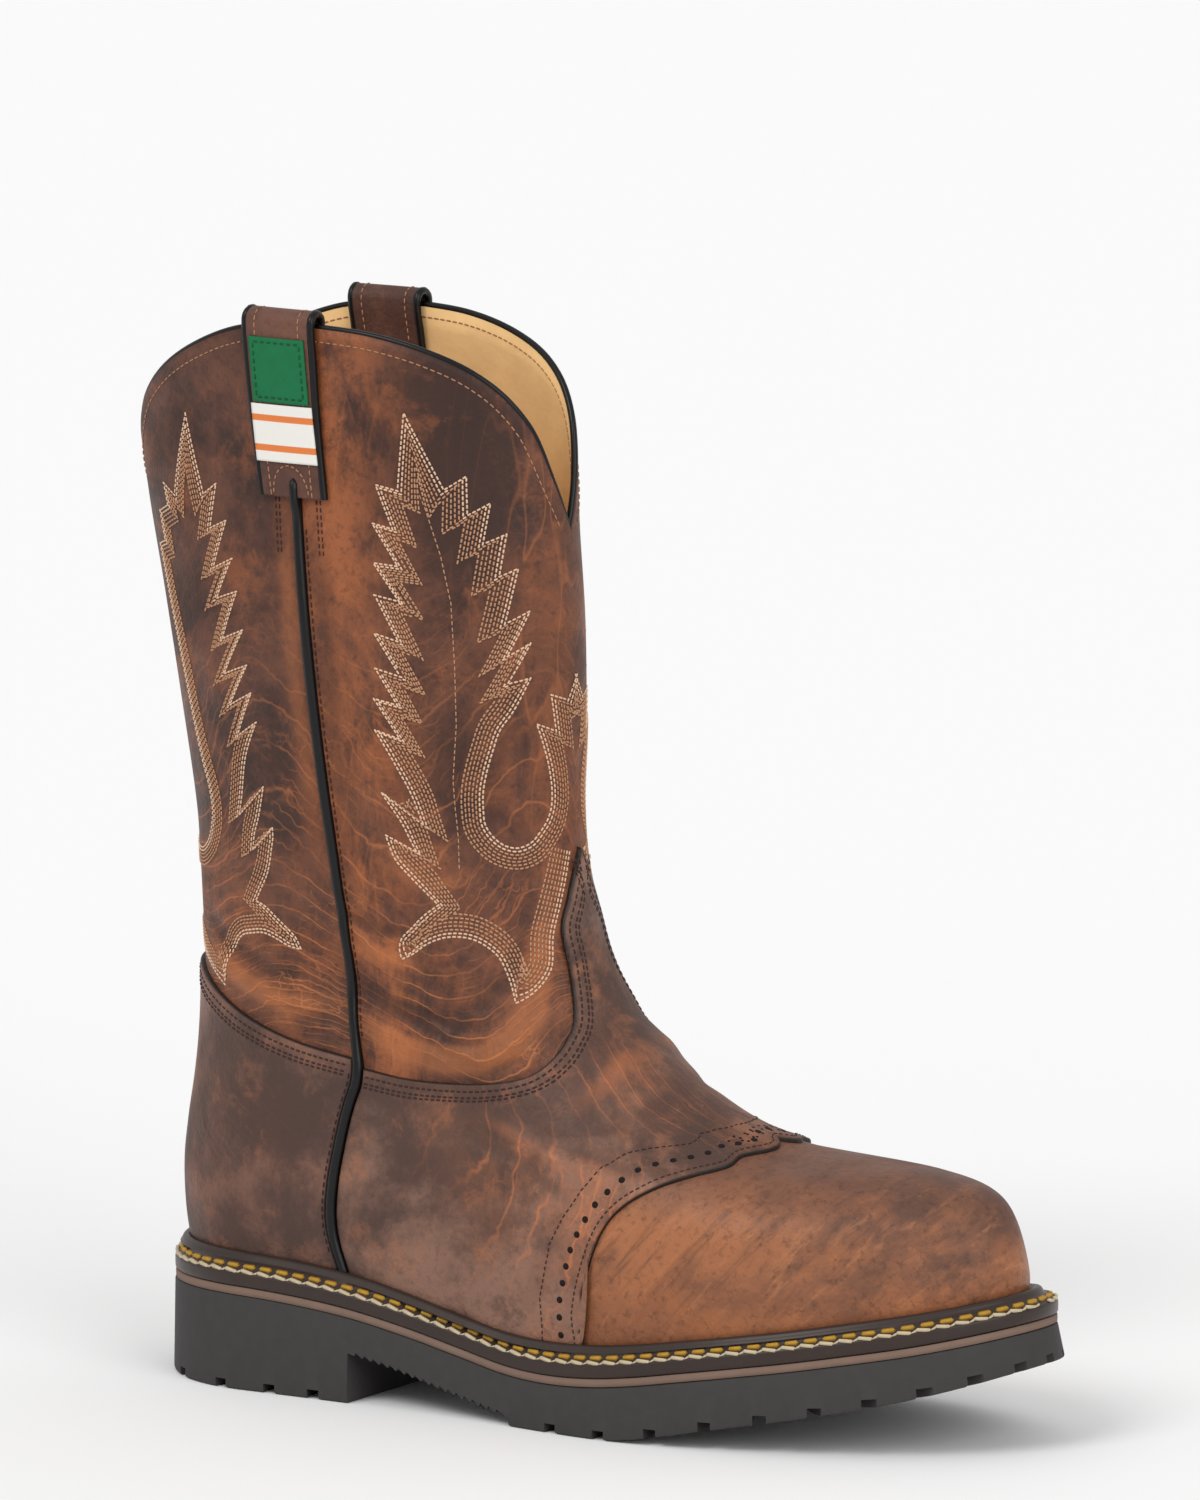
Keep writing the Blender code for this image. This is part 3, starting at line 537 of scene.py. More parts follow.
def stitch_shapes(centres, along, up, length, width, rise):
    """Points and faces of many small spindle-shaped stitches."""
    along = unit(along)
    across = unit(np.cross(up, along))
    up = np.cross(along, across)
    count = len(centres)
    length = np.broadcast_to(length, count)[:, None]
    points = [centres - along * length / 2 - up * rise * STITCH_TIP]
    for place, size in STITCH_RINGS:
        middle = centres + along * length * place
        for side, lift in ((-1, 0.0), (0, 1.0), (1, 0.0), (0, -STITCH_UNDER)):
            points.append(middle + across * side * width / 2 * size + up * lift * rise * size)
    points.append(centres + along * length / 2 - up * rise * STITCH_TIP)
    points = np.stack(points, 1)
    faces = []
    for k in range(4):
        m = (k + 1) % 4
        faces.append((0, 1 + m, 1 + k))
        faces.append((1 + k, 1 + m, 5 + m))
        faces.append((1 + k, 5 + m, 5 + k))
        faces.append((9, 5 + k, 5 + m))
    faces = np.array(faces)[None] + (np.arange(count) * 10)[:, None, None]
    return points.reshape(-1, 3), faces.reshape(-1, 3)


def stitch_row(turn, level, out, pitch):
    """Middles, directions and normals of stitches along a line of turns and levels."""
    index = evenly(form(turn, level), pitch)
    t = sample(turn, index)
    v = sample(level, index)
    before = form(sample(turn, index - 0.02), sample(level, index - 0.02))
    after = form(sample(turn, index + 0.02), sample(level, index + 0.02))
    return skin(t, v, np.full(len(t), float(out))), after - before, form_normal(t, v)


class StitchWork:
    """Collects stitches and makes one joined mesh of them."""

    def __init__(self, name, material):
        self.name = name
        self.material = material
        self.points = []
        self.faces = []
        self.count = 0

    def add(self, centres, along, up, length, width, rise):
        points, faces = stitch_shapes(centres, along, up, length, width, rise)
        self.points.append(points)
        self.faces.append(faces + self.count)
        self.count += len(points)

    def along_skin(self, turn, level, out, pitch, fill, width, rise):
        """A row of stitches that runs through turns and levels of the upper."""
        centres, along, up = stitch_row(turn, level, out, pitch)
        self.add(centres, along, up, pitch * fill, width, rise)

    def make(self):
        points = np.concatenate(self.points)
        faces = np.concatenate(self.faces)
        return make_mesh(self.name, points, faces, self.material)


def densify(points, step):
    """More points on each straight stretch of a line of turns and levels, about a step apart."""
    points = np.asarray(points, float)
    out = [points[:1]]
    for a, b in zip(points[:-1], points[1:]):
        length = math.hypot((b[0] - a[0]) * TURN_LENGTH, (b[1] - a[1]) * LEVEL_LENGTH)
        count = max(math.ceil(length / step), 1)
        share = (np.arange(count) + 1)[:, None] / count
        out.append(a + (b - a) * share)
    return np.concatenate(out)


def rgb(red, green, blue):
    """Colour from the usual 0 to 255 values."""
    values = np.array([red, green, blue]) / 255
    linear = np.where(values <= 0.04045, values / 12.92, ((values + 0.055) / 1.055) ** 2.4)
    return (*[float(v) for v in linear], 1.0)


class Look:
    """A procedural material while it is being put together."""

    def __init__(self, name):
        self.material = bpy.data.materials.new(name)
        self.material.use_nodes = True
        self.tree = self.material.node_tree
        self.shader = self.tree.nodes["Principled BSDF"]
        self.place = self.node("TexCoord").outputs["Object"]

    def node(self, kind):
        return self.tree.nodes.new("ShaderNode" + kind)

    def feed(self, socket, value):
        if isinstance(value, bpy.types.NodeSocket):
            self.tree.links.new(value, socket)
        else:
            socket.default_value = value

    def fed(self, node, output, inputs):
        """Feeds a node's inputs and gives one of its outputs."""
        for name, value in inputs.items():
            self.feed(node.inputs[name], value)
        return node.outputs[output]

    def set(self, name, value):
        self.feed(self.shader.inputs[name], value)

    def stretched(self, lengths, turn=(0.0, 0.0, 0.0)):
        """Coordinates that draw a pattern out along each axis, after the axes are turned."""
        node = self.node("Mapping")
        node.vector_type = "TEXTURE"
        return self.fed(node, "Vector", {"Vector": self.place, "Scale": lengths, "Rotation": turn})

    def noise(self, scale, detail=3.0, rough=0.5, distortion=0.0, where=None):
        return self.fed(self.node("TexNoise"), "Fac", {
            "Vector": where or self.place, "Scale": scale, "Detail": detail, "Roughness": rough,
            "Distortion": distortion,
        })

    def warped(self, scale, amount):
        """Coordinates pushed about by noise, so that a pattern on them runs unevenly."""
        push = self.fed(self.node("TexNoise"), "Color", {"Vector": self.place, "Scale": scale, "Detail": 3.0})
        node = self.node("VectorMath")
        node.operation = "MULTIPLY_ADD"
        return self.fed(node, "Vector", {0: push, 1: (amount, amount, amount), 2: self.place})

    def cells(self, scale, where=None, edges=True):
        node = self.node("TexVoronoi")
        node.feature = "DISTANCE_TO_EDGE" if edges else "F1"
        return self.fed(node, "Distance", {"Vector": where or self.place, "Scale": scale})

    def ramp(self, value, low, high, start=0.0, end=1.0):
        node = self.node("MapRange")
        node.interpolation_type = "SMOOTHSTEP"
        return self.fed(node, "Result", {
            "Value": value, "From Min": low, "From Max": high, "To Min": start, "To Max": end,
        })

    def away(self, value, middle):
        """Distance of a value from a middle value."""
        return self.math("ABSOLUTE", self.math("SUBTRACT", value, middle))

    def contour(self, value, width):
        """Thin lines where a noise crosses its middle value."""
        return self.ramp(self.away(value, 0.5), 0.0, width, 1.0, 0.0)

    def wrinkles(self, spacing, width, seed):
        """Long thin lines that follow the flow of the folds, and the ridge that each one crowns."""
        flow = self.math("DIVIDE", self.attribute("flow"), spacing)
        wander = self.math("MULTIPLY", self.noise(20.0 + seed, 4.0, 0.55, 0.3), 14.0 / spacing)
        jitter = self.math("MULTIPLY", self.noise(90.0 + seed, 3.0, 0.6), 3.0 / spacing)
        phase = self.math("ADD", self.math("ADD", flow, wander), jitter)
        away = self.away(self.math("FRACT", phase), 0.5)
        return self.ramp(away, 0.0, width, 1.0, 0.0), self.ramp(away, 0.0, 0.45, 1.0, 0.0)

    def math(self, operation, first, second=0.0):
        node = self.node("Math")
        node.operation = operation
        return self.fed(node, "Value", {0: first, 1: second})

    def mix(self, share, first, second):
        """Colour between two; a mix node's colours are its inputs 6 and 7, and its output 2."""
        node = self.node("Mix")
        node.data_type = "RGBA"
        return self.fed(node, 2, {0: share, 6: first, 7: second})

    def height(self):
        return self.fed(self.node("SeparateXYZ"), "Z", {"Vector": self.place})

    def attribute(self, name):
        node = self.node("Attribute")
        node.attribute_name = name
        return node.outputs["Fac"]

    def bump(self, height, strength, distance, normal=None):
        inputs = {"Height": height, "Strength": strength, "Distance": distance * MM}
        if normal is not None:
            inputs["Normal"] = normal
        return self.fed(self.node("Bump"), "Normal", inputs)


def plain_look(name, colour, roughness, bump_scale=600.0, bump_depth=0.15, coat=0.0, mottle=0.15,
               shine=0.3):
    """A simple surface with a little unevenness in colour and relief."""
    look = Look(name)
    darker = tuple(c * (1 - mottle) for c in colour[:3]) + (1.0,)
    lighter = tuple(min(c * (1 + mottle), 1.0) for c in colour[:3]) + (1.0,)
    look.set("Base Color", look.mix(look.noise(bump_scale * 0.25, 4.0), darker, lighter))
    look.set("Roughness", roughness)
    look.set("Specular IOR Level", shine)
    look.set("Normal", look.bump(look.noise(bump_scale, 3.0), 0.5, bump_depth))
    if coat:
        look.set("Coat Weight", coat)
        look.set("Coat Roughness", 0.25)
    return look.material


def tag_look():
    """White cloth with two plain orange stripes."""
    look = Look("tag_cloth")
    up = look.attribute("up")
    colour = rgb(226, 223, 217)
    for middle in (-0.52, 0.52):
        stripe = look.ramp(look.away(up, middle), 0.10, 0.13, 1.0, 0.0)
        colour = look.mix(stripe, colour, rgb(216, 122, 66))
    look.set("Base Color", colour)
    look.set("Roughness", 0.8)
    look.set("Specular IOR Level", 0.2)
    look.set("Normal", look.bump(look.noise(1200.0, 3.0), 0.5, 0.1))
    return look.material


def toe_colour(look):
    """Brushed strokes and smears of the toe, with darker spots, a painted sheen tone (greyer and darker) over
    the top, and rubbed at the welt.
    """
    strokes = look.noise(210.0, 7.0, 0.7, 0.3, look.stretched((9.0, 3.0, 1.0), (0.0, -0.85, 0.0)))
    smears = look.noise(20.0, 6.0, 0.62, 0.4, look.stretched((2.2, 1.0, 1.0), (0.0, -0.35, 0.0)))
    tip = look.mix(look.ramp(smears, 0.36, 0.60), rgb(98, 66, 52), rgb(162, 102, 66))
    tip = look.mix(look.ramp(strokes, 0.34, 0.50, 0.5, 0.0), tip, rgb(86, 55, 42))
    tip = look.mix(look.ramp(strokes, 0.53, 0.68, 0.0, 0.4), tip, rgb(190, 126, 84))
    tip = look.mix(look.ramp(look.noise(34.0, 6.0, 0.6), 0.58, 0.70, 0.0, 0.6), tip, rgb(74, 53, 46))
    wander = look.math("MULTIPLY", look.noise(22.0, 5.0, 0.6), 0.03)
    height = look.math("ADD", look.height(), wander)
    # painted reflection: the top of the toe, by height, takes a greyer, darker brown
    tip = look.mix(look.ramp(height, 0.082, 0.104, 0.0, 0.7), tip, rgb(88, 64, 56))
    return look.mix(look.ramp(height, 0.052, 0.072, 0.4, 0.0), tip, rgb(168, 100, 56))


def oiled_leather(name, dark, middle, rubbed, crack, toe):
    """Distressed leather: blotches, rubbed places, wrinkle lines, scratches and a fine grain, with painted
    highlights on the crease ridges, painted shade in the crease troughs and between the wrinkles, and dark
    cut edges that widen into a painted shadow on the vamp's upper border.
    """
    look = Look(name)
    times = functools.partial(look.math, "MULTIPLY")
    rub = look.attribute("rub")
    bend = look.attribute("bend")
    upright = look.attribute("upright")
    crease_light_and_shade = look.ramp(look.attribute("crease_light_and_shade"), 0.05, 0.9)
    broad = look.noise(14.0, 9.0, 0.68, 0.3)
    small = look.noise(58.0, 8.0, 0.72, 0.3)
    fine = look.noise(360.0, 4.0, 0.7)
    colour = look.mix(look.ramp(broad, 0.42, 0.60), dark, middle)
    brushed = look.noise(36.0, 9.0, 0.74, 0.4, look.stretched((1.0, 1.0, 2.4)))
    colour = look.mix(times(rub, look.ramp(brushed, 0.36, 0.58)), colour, rubbed)
    colour = look.mix(look.ramp(small, 0.50, 0.68, 0.0, 0.45), colour, rubbed)
    colour = look.mix(look.ramp(small, 0.32, 0.46, 0.6, 0.0), colour, dark)
    if toe:
        colour = look.mix(look.attribute("toe"), colour, toe_colour(look))
    colour = look.mix(look.ramp(fine, 0.50, 0.72, 0.0, 0.45), colour, dark)
    long_line, long_ridge = look.wrinkles(6.5, 0.07, 0.0)
    short_line, short_ridge = look.wrinkles(2.7, 0.12, 7.0)
    broken = look.ramp(look.noise(34.0, 4.0, 0.6, 0.3), 0.42, 0.58)
    patchy = look.ramp(look.noise(26.0, 4.0, 0.6), 0.46, 0.60)
    crossing = look.contour(look.noise(85.0, 3.0, 0.55, 0.3), 0.014)
    drawn_out = look.stretched((1.0, 1.0, 6.0), (0.0, 0.15, 0.0))
    cracked = look.contour(look.noise(60.0, 2.0, 0.5, 0.2, drawn_out), 0.016)
    thin = times(long_line, times(bend, look.ramp(broken, 0.0, 1.0, 0.35, 1.0)))
    thin = look.math("MAXIMUM", thin, times(short_line, times(bend, times(patchy, 0.75))))
    thin = look.math("MAXIMUM", thin, times(crossing, times(times(broken, patchy), bend)))
    thin = look.math("MAXIMUM", thin, times(cracked, times(upright, 0.5)))
    # painted shade: the hollows between the wrinkle ridges are darkened
    painted_hollow_shade = times(look.ramp(long_ridge, 0.0, 0.5, 1.0, 0.0), times(bend, broken))
    colour = look.mix(times(painted_hollow_shade, 0.45), colour, dark)
    colour = look.mix(times(thin, 0.6), colour, crack)
    # painted highlight on the ridges of the creases
    colour = look.mix(times(crease_light_and_shade, 0.3), colour, crack)
    # painted shade in the troughs of the creases
    painted_trough_shade = look.ramp(look.attribute("crease_light_and_shade"), -0.7, -0.05, 0.55, 0.0)
    colour = look.mix(painted_trough_shade, colour, dark)
    # dark cut edges of the panels, with a painted shadow where the band widens on the vamp's upper border
    colour = look.mix(look.ramp(look.attribute("edge"), 0.35, 0.9), colour, rgb(34, 26, 23))
    look.set("Base Color", colour)
    grain = look.math("ADD", look.noise(1300.0, 3.0, 0.6), look.cells(800.0, None, False))
    relief = look.bump(grain, 0.3, 0.16)
    pebbled = look.ramp(look.cells(250.0, look.warped(70.0, 0.006)), 0.0, 0.16)
    relief = look.bump(pebbled, 0.25, 0.3, relief)
    relief = look.bump(small, 0.4, 0.9, relief)
    relief = look.bump(times(long_ridge, times(bend, broken)), 0.6, 0.9, relief)
    relief = look.bump(times(short_ridge, times(bend, patchy)), 0.5, 0.35, relief)
    relief = look.bump(thin, 0.5, 0.2, relief)
    look.set("Normal", relief)
    look.set("Roughness", look.ramp(look.noise(38.0, 4.0), 0.3, 0.7, 0.44, 0.62))
    look.set("Specular IOR Level", 0.3)
    look.set("Coat Weight", 0.03)
    look.set("Coat Roughness", 0.4)
    return look.material


# Colours of the oiled leathers: dark, middle, rubbed, crack
LEATHERS = {
    "shaft": (rgb(54, 33, 27), rgb(98, 60, 44), rgb(150, 86, 50), rgb(206, 124, 70)),
    "vamp": (rgb(76, 54, 46), rgb(132, 98, 82), rgb(162, 102, 70), rgb(208, 122, 72)),
    "counter": (rgb(72, 51, 44), rgb(120, 85, 71), rgb(142, 92, 66), rgb(160, 100, 68)),
    "strap": (rgb(70, 46, 39), rgb(102, 68, 56), rgb(122, 78, 58), rgb(140, 92, 66)),
}

# Plain looks give colour, roughness, scale and depth of the bump, coat, mottle and shine
MATERIALS = {
    **{part: oiled_leather(part + "_leather", *colours, toe=part == "shaft")
       for part, colours in LEATHERS.items()},
    "cord": plain_look("cord_leather", rgb(10, 8, 8), 0.36, 500.0, 0.12, 0.2, 0.15, 0.2),
    "lining": plain_look("lining_suede", rgb(240, 196, 138), 0.92, 260.0, 0.4, 0.0, 0.2, 0.15),
    "footbed": plain_look("footbed_fabric", rgb(190, 150, 98), 0.95, 300.0, 0.4, 0.0, 0.15, 0.15),
    "welt": plain_look("welt_leather", rgb(48, 35, 29), 0.44, 300.0, 0.2, 0.15, 0.25),
    "midsole": plain_look("midsole_leather", rgb(122, 100, 88), 0.75, 500.0, 0.15, 0.0, 0.12, 0.2),
    "rubber": plain_look("sole_rubber", rgb(62, 59, 59), 0.7, 900.0, 0.08, 0.0, 0.12, 0.2),
    "green": plain_look("patch_cloth", rgb(8, 104, 60), 0.66, 900.0, 0.12),
    "white": tag_look(),
    "dark_thread": plain_look("dark_thread", rgb(58, 34, 28), 0.6, 2500.0, 0.1),
    "pale_thread": plain_look("pale_thread", rgb(228, 192, 162), 0.55, 2500.0, 0.1),
    "tan_thread": plain_look("tan_thread", rgb(170, 122, 92), 0.55, 2500.0, 0.1),
    "gold_thread": plain_look("gold_thread", rgb(176, 134, 44), 0.5, 2500.0, 0.1),
    "cream_thread": plain_look("cream_thread", rgb(196, 180, 150), 0.6, 2500.0, 0.1),
    "rose_thread": plain_look("rose_thread", rgb(188, 142, 110), 0.55, 2500.0, 0.1),
    "green_thread": plain_look("green_thread", rgb(8, 78, 46), 0.6, 2500.0, 0.1),
    # near-black fill of the punched holes: painted shade inside them
    "painted_hole_shade": plain_look("painted_hole_shade", rgb(24, 15, 12), 0.9, 900.0, 0.05),
}


def hill(value, middle, reach):
    """Smooth bump, 1 at its middle."""
    return np.exp(-((value - middle) / reach) ** 2)


def side_rub(folded, level):
    """Rubbed band in front of each side seam, a weaker one behind it, and one round the ankle."""
    gap = (seam_turn(level) - folded) * form_speed(folded, level)
    front = hill(gap, 14, 16) * (gap > -2)
    behind = 0.4 * hill(gap, -4, 6)
    low = 0.45 * hill(level, 7.6, 1.8)
    return np.clip(np.maximum(np.maximum(front, behind), low), 0, 1)


def looks_of(part, turn, level):
    """Values that the leather materials read at each point: rubbed, the crease height (for painted highlights
    on the ridges and painted shade in the troughs), wrinkled, cracked, and the measure across the long
    wrinkles, which run where it stays the same. The part is upper, vamp or counter."""
    turn = np.asarray(turn, float) % 1.0
    level = np.asarray(level, float)
    folded = np.minimum(turn, 1 - turn)
    rub = side_rub(folded, level)
    upright = np.zeros(folded.shape)
    if part == "upper":
        bend = np.clip(hill(level, 7.4, 1.9) + 0.4 * hill(level, 10.4, 1.5), 0, 1)
        upright = np.clip(0.8 * hill(folded, 0.05, 0.06) * hill(level, 12.2, 2.0) + 0.4 * rub, 0, 1)
        rub = np.clip(rub + 0.55 * hill(folded, 0.055, 0.05) * hill(level, 10.6, 2.4), 0, 1)
        climb = np.clip((9.2 - level) / 2.2, 0, 1) * (np.clip(0.2 - folded, 0, None) / 0.1) ** 1.3
        flow = 16.0 * (level - climb - 0.5 * np.sin(folded * 26.0))
    elif part == "vamp":
        bend = np.clip(hill(folded, 0.215, 0.045) * hill(level, 2.6, 2.1)
                       + 0.6 * hill(folded, 0.08, 0.07) * hill(level, 6.2, 1.6), 0, 1)
        rub = 0.5 * bend
        flow = 330.0 * folded + 6.5 * level
    else:
        bend = 0.35 * hill(folded, 0.40, 0.035) * hill(level, 3.3, 1.3)
        rub = 0.3 * hill(folded, 0.44, 0.06) * hill(level, 3.0, 2.0)
        flow = 330.0 * folded - 9.0 * level
    # crease height, which the leather material reads to paint highlights on the ridges and shade in the
    # troughs
    crease_light_and_shade = creasing(form(turn, level))
    return {"rub": rub, "crease_light_and_shade": crease_light_and_shade, "bend": bend, "upright": upright, "flow": flow}


def make_shell():
    count = 320
    turn = np.arange(count) / count
    low = np.linspace(0.0, FIRST_FLAT_RING, 150)[:, None] + np.zeros(count)
    top = level_at(collar_height(turn))
    levels = np.concatenate([low, low[-1] + (top - low[-1]) * np.linspace(0, 1, 61)[1:, None]])
    turns = np.broadcast_to(turn, levels.shape)
    outer = skin(turns, levels, np.zeros(levels.shape))
    inner_rows = np.linspace(len(levels) - 1, 0, 40).astype(int)
    inner = skin(turns[inner_rows], levels[inner_rows], np.full((40, count), LINING - WALL))
    inner[0, :, 2] = outer[-1, :, 2]
    inner[-1, :, 2] = outer[0, :, 2]
    attributes = looks_of("upper", turns, levels)
    folded = np.minimum(turns, 1 - turns)
    low_edge = np.interp(folded, VAMP_BOTTOM[::-1, 1], VAMP_BOTTOM[::-1, 2])
    high_edge = np.interp(folded, VAMP_TOP[::-1, 1], VAMP_TOP[::-1, 2])
    attributes["toe"] = (levels < 0.5 * (low_edge + high_edge)) & (folded < 0.232)
    attributes["edge"] = np.zeros(levels.shape)
    for name, values in attributes.items():
        values = np.asarray(values, float)
        attributes[name] = np.concatenate([values, values[inner_rows]]).ravel()
    piece = ring_piece("upper_shell", np.concatenate([outer, inner]), MATERIALS["shaft"], attributes)
    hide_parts("upper")
    return piece


def make_lining():
    count = 200
    turn = np.arange(count) / count
    top = level_at(collar_height(turn) - 0.2)
    share = np.linspace(0, 1, 70)[:, None]
    levels = 0.1 + (top - 0.1) * share
    turns = np.broadcast_to(turn, levels.shape)
    outer = skin(turns, levels, np.full(levels.shape, LINING - WALL - 0.02))
    inner = skin(turns, levels, np.full(levels.shape, -WALL))[::-1]
    piece = ring_piece("upper_lining", np.concatenate([outer, inner]), MATERIALS["lining"])
    return piece


# Start of a panel's bevel and depth of its underside, from the skin, and the width of the bevel
PANEL_START = 0.25
PANEL_UNDER = -0.3
PANEL_BEVEL = 1.2


def panel_grid(bottom, top, shares, rows, reach, side, edge_shift):
    """Turns and levels of a panel that starts at the side seam, for one side of the boot."""
    low = cubic(bottom[:, 0], bottom[:, 1:], shares)
    high = cubic(top[:, 0], top[:, 1:], shares)
    turns = []
    levels = []
    for b in rows:
        level = low[:, 1] + (high[:, 1] - low[:, 1]) * b
        turn = low[:, 0] + (high[:, 0] - low[:, 0]) * b
        straight = low[0, 0] + (high[0, 0] - low[0, 0]) * b
        seam_level = low[0, 1] + (high[0, 1] - low[0, 1]) * b
        seam = float(seam_turn(seam_level))
        shift = edge_shift / float(form_speed(seam, seam_level))
        turn = turn + np.clip(1 - shares / reach, 0, 1) * (seam + shift - straight)
        turns.append(turn)
        levels.append(level)
    return on_side(np.array(turns), side), np.array(levels)


def two_sided(bottom, top, columns, rows, reach, edge_shift, through_front):
    """Panel grid that runs from one side seam over the front or back to the other."""
    shares = np.concatenate([[0, 0.002, 0.005, 0.009], np.linspace(0.014, 1, columns - 4)])
    outer_turn, outer_level = panel_grid(bottom, top, shares, rows, reach, -1, edge_shift)
    inner_turn, inner_level = panel_grid(bottom, top, shares, rows, reach, 1, edge_shift)
    if not through_front:
        inner_turn = inner_turn + 1.0
    turn = np.concatenate([outer_turn, inner_turn[:, -2::-1]], axis=1)
    level = np.concatenate([outer_level, inner_level[:, -2::-1]], axis=1)
    return turn, level


def panel_rows(count):
    """Shares from the lower to the upper border, close together at the borders."""
    near = np.array([0.0, 0.0015, 0.0035, 0.007, 0.011])
    middle = np.linspace(0.016, 0.984, count)
    return np.concatenate([near, middle, 1 - near[::-1]])


def make_panel(name, turn, level, material, node, slot_name):
    distance = border_distance(form(turn, level))
    bevel = quarter_round(np.clip(distance / PANEL_BEVEL, 0, 1))
    outer = skin(turn, level, PANEL_START + (PANEL_RISE - PANEL_START) * bevel)
    inner = skin(turn, level, np.full(turn.shape, PANEL_UNDER))
    attributes = looks_of(node, turn, level)
    # Dark cut edge along the panel's border; on the vamp's upper part it widens into a painted shadow along
    # the raised edge
    dark_edge_and_shadow_width = 1.3 + 1.5 * np.clip(level - 6.2, 0, 1) * (node == "vamp")
    attributes["edge"] = np.clip(1 - distance / dark_edge_and_shadow_width, 0, 1)
    piece = patch_piece(name, outer, inner, material, attributes)
    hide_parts(node)
    return piece


def stacked_plate(name, loops, material):
    """Stack of outlines closed with strips from side to side; turns start half a step off the front."""
    rows, columns = loops.shape[:2]
    faces = [grid_faces(rows, columns, False, True)]
    half = np.arange(columns // 2 - 1)
    cap = np.stack([half, half + 1, columns - 2 - half, columns - 1 - half], -1)
    faces.append(cap[:, ::-1])
    faces.append(cap + (rows - 1) * columns)
    return make_mesh(name, loops, np.concatenate(faces), material)


def half_step_turns(count):
    return (np.arange(count) + 0.5) / count


def cut(target, cutter):
    modifier = target.modifiers.new("cut", "BOOLEAN")
    modifier.operation = "DIFFERENCE"
    modifier.solver = "EXACT"
    modifier.object = cutter
    cutter.hide_render = True
    cutter.hide_viewport = False
    bpy.context.view_layer.update()
    shown = target.evaluated_get(bpy.context.evaluated_depsgraph_get())
    mesh = bpy.data.meshes.new_from_object(shown)
    target.modifiers.clear()
    target.data = mesh
    bpy.data.objects.remove(cutter, do_unlink=True)


def side_point(x, side):
    """Point of the sole outline at a distance from the back; side is -1 outer, 1 inner."""
    turn = math.acos(2 * x / SOLE_LENGTH - 1) / (2 * math.pi)
    px, py = outline(turn if side < 0 else 1 - turn)
    return float(px), float(py)


def island_point(island, x, side):
    cx, cy, half_length, half_width = island
    share = min(abs(x - cx) / half_length, 1.0)
    return x, cy + side * half_width * math.sqrt(1 - share * share)


def groove_box(start, end):
    """Eight corners of one groove from beyond the outline to the island."""
    sx, sy = start
    ex, ey = end
    length = math.hypot(ex - sx, ey - sy)
    dx, dy = (ex - sx) / length, (ey - sy) / length
    half = GROOVE_WIDTH / 2
    corners = []
    for x, y in ((sx - 4 * dx, sy - 4 * dy), (ex + 0.5 * dx, ey + 0.5 * dy)):
        top = float(sole_bottom(x)) + GROOVE_DEPTH
        for side in (-half, half):
            corners.append((x - dy * side, y + dx * side, top))
            corners.append((x - dy * side, y + dx * side, CUT_FLOOR))
    return corners


BOX_FACES = np.array([(0, 1, 3, 2), (4, 6, 7, 5), (0, 4, 5, 1), (2, 3, 7, 6), (0, 2, 6, 4), (1, 5, 7, 3)])

# Heights below the floor at which the cutters of waist and tread end
WAIST_CUT_FLOOR = -5.0
CUT_FLOOR = -6.0

# Degrees from which an edge of the outsole is sharp
SHARP_ANGLE = 32


def outsole_body():
    """Sole unit without its tread: its side flares out a little toward the toe."""
    turn = half_step_turns(240)
    flare = 0.5 + 1.7 * (outline(turn)[0] / SOLE_LENGTH) ** 2
    loops = []
    for grow, rise in ((-0.9, 0.0), (-0.25, 0.25), (0.0, 0.9)):
        x, y = outline(turn, grow + flare)
        loops.append(np.stack([x, y, sole_bottom(x) + rise], -1))
    for grow, drop in ((0.0, 0.9), (-0.2, 0.3), (-0.7, 0.0)):
        x, y = outline(turn, grow)
        loops.append(np.stack([x, y, sole_top(x) - drop], -1))
    return stacked_plate("outsole_look", np.array(loops), MATERIALS["rubber"])


def waist_cutter():
    """Room between heel breast and forefoot tread, with the waist's ribs on its ceiling."""
    profile = [(HEEL_BREAST, WAIST_CUT_FLOOR), (HEEL_BREAST, WAIST[0, 1])]
    for k in range(1, int((TREAD_BACK - HEEL_BREAST) / RIB_PITCH)):
        x = HEEL_BREAST + k * RIB_PITCH
        z = np.interp(x, WAIST[:, 0], WAIST[:, 1])
        profile.append((x - 0.25 * RIB_PITCH, z))
        profile.append((x, z + RIB_DEPTH))
    profile += [(TREAD_BACK, WAIST[-1, 1]), (TREAD_BACK, WAIST_CUT_FLOOR)]
    x, z = np.array(profile).T
    ends = [np.stack([x, np.full(len(x), y), z], -1) for y in (-62.0, 62.0)]
    return prism("waist_cutter", np.array(ends))


def groove_cutter():
    """One box for each groove of the tread, from the sole's edge to an island, and one at the tip."""
    points = []
    for island, grooves in ((HEEL_ISLAND, HEEL_GROOVES), (FORE_ISLAND, FORE_GROOVES)):
        for x_edge, x_island in grooves:
            for side in (-1, 1):
                points += groove_box(side_point(x_edge, side), island_point(island, x_island, side))
    tip_x, tip_y = outline(0.0)
    points += groove_box((float(tip_x), float(tip_y)), ISLAND_TIP)
    boxes = len(points) // 8
    faces = (BOX_FACES[None] + 8 * np.arange(boxes)[:, None, None]).reshape(-1, 4)
    return make_mesh("groove_cutter", points, faces, None, smooth=False)


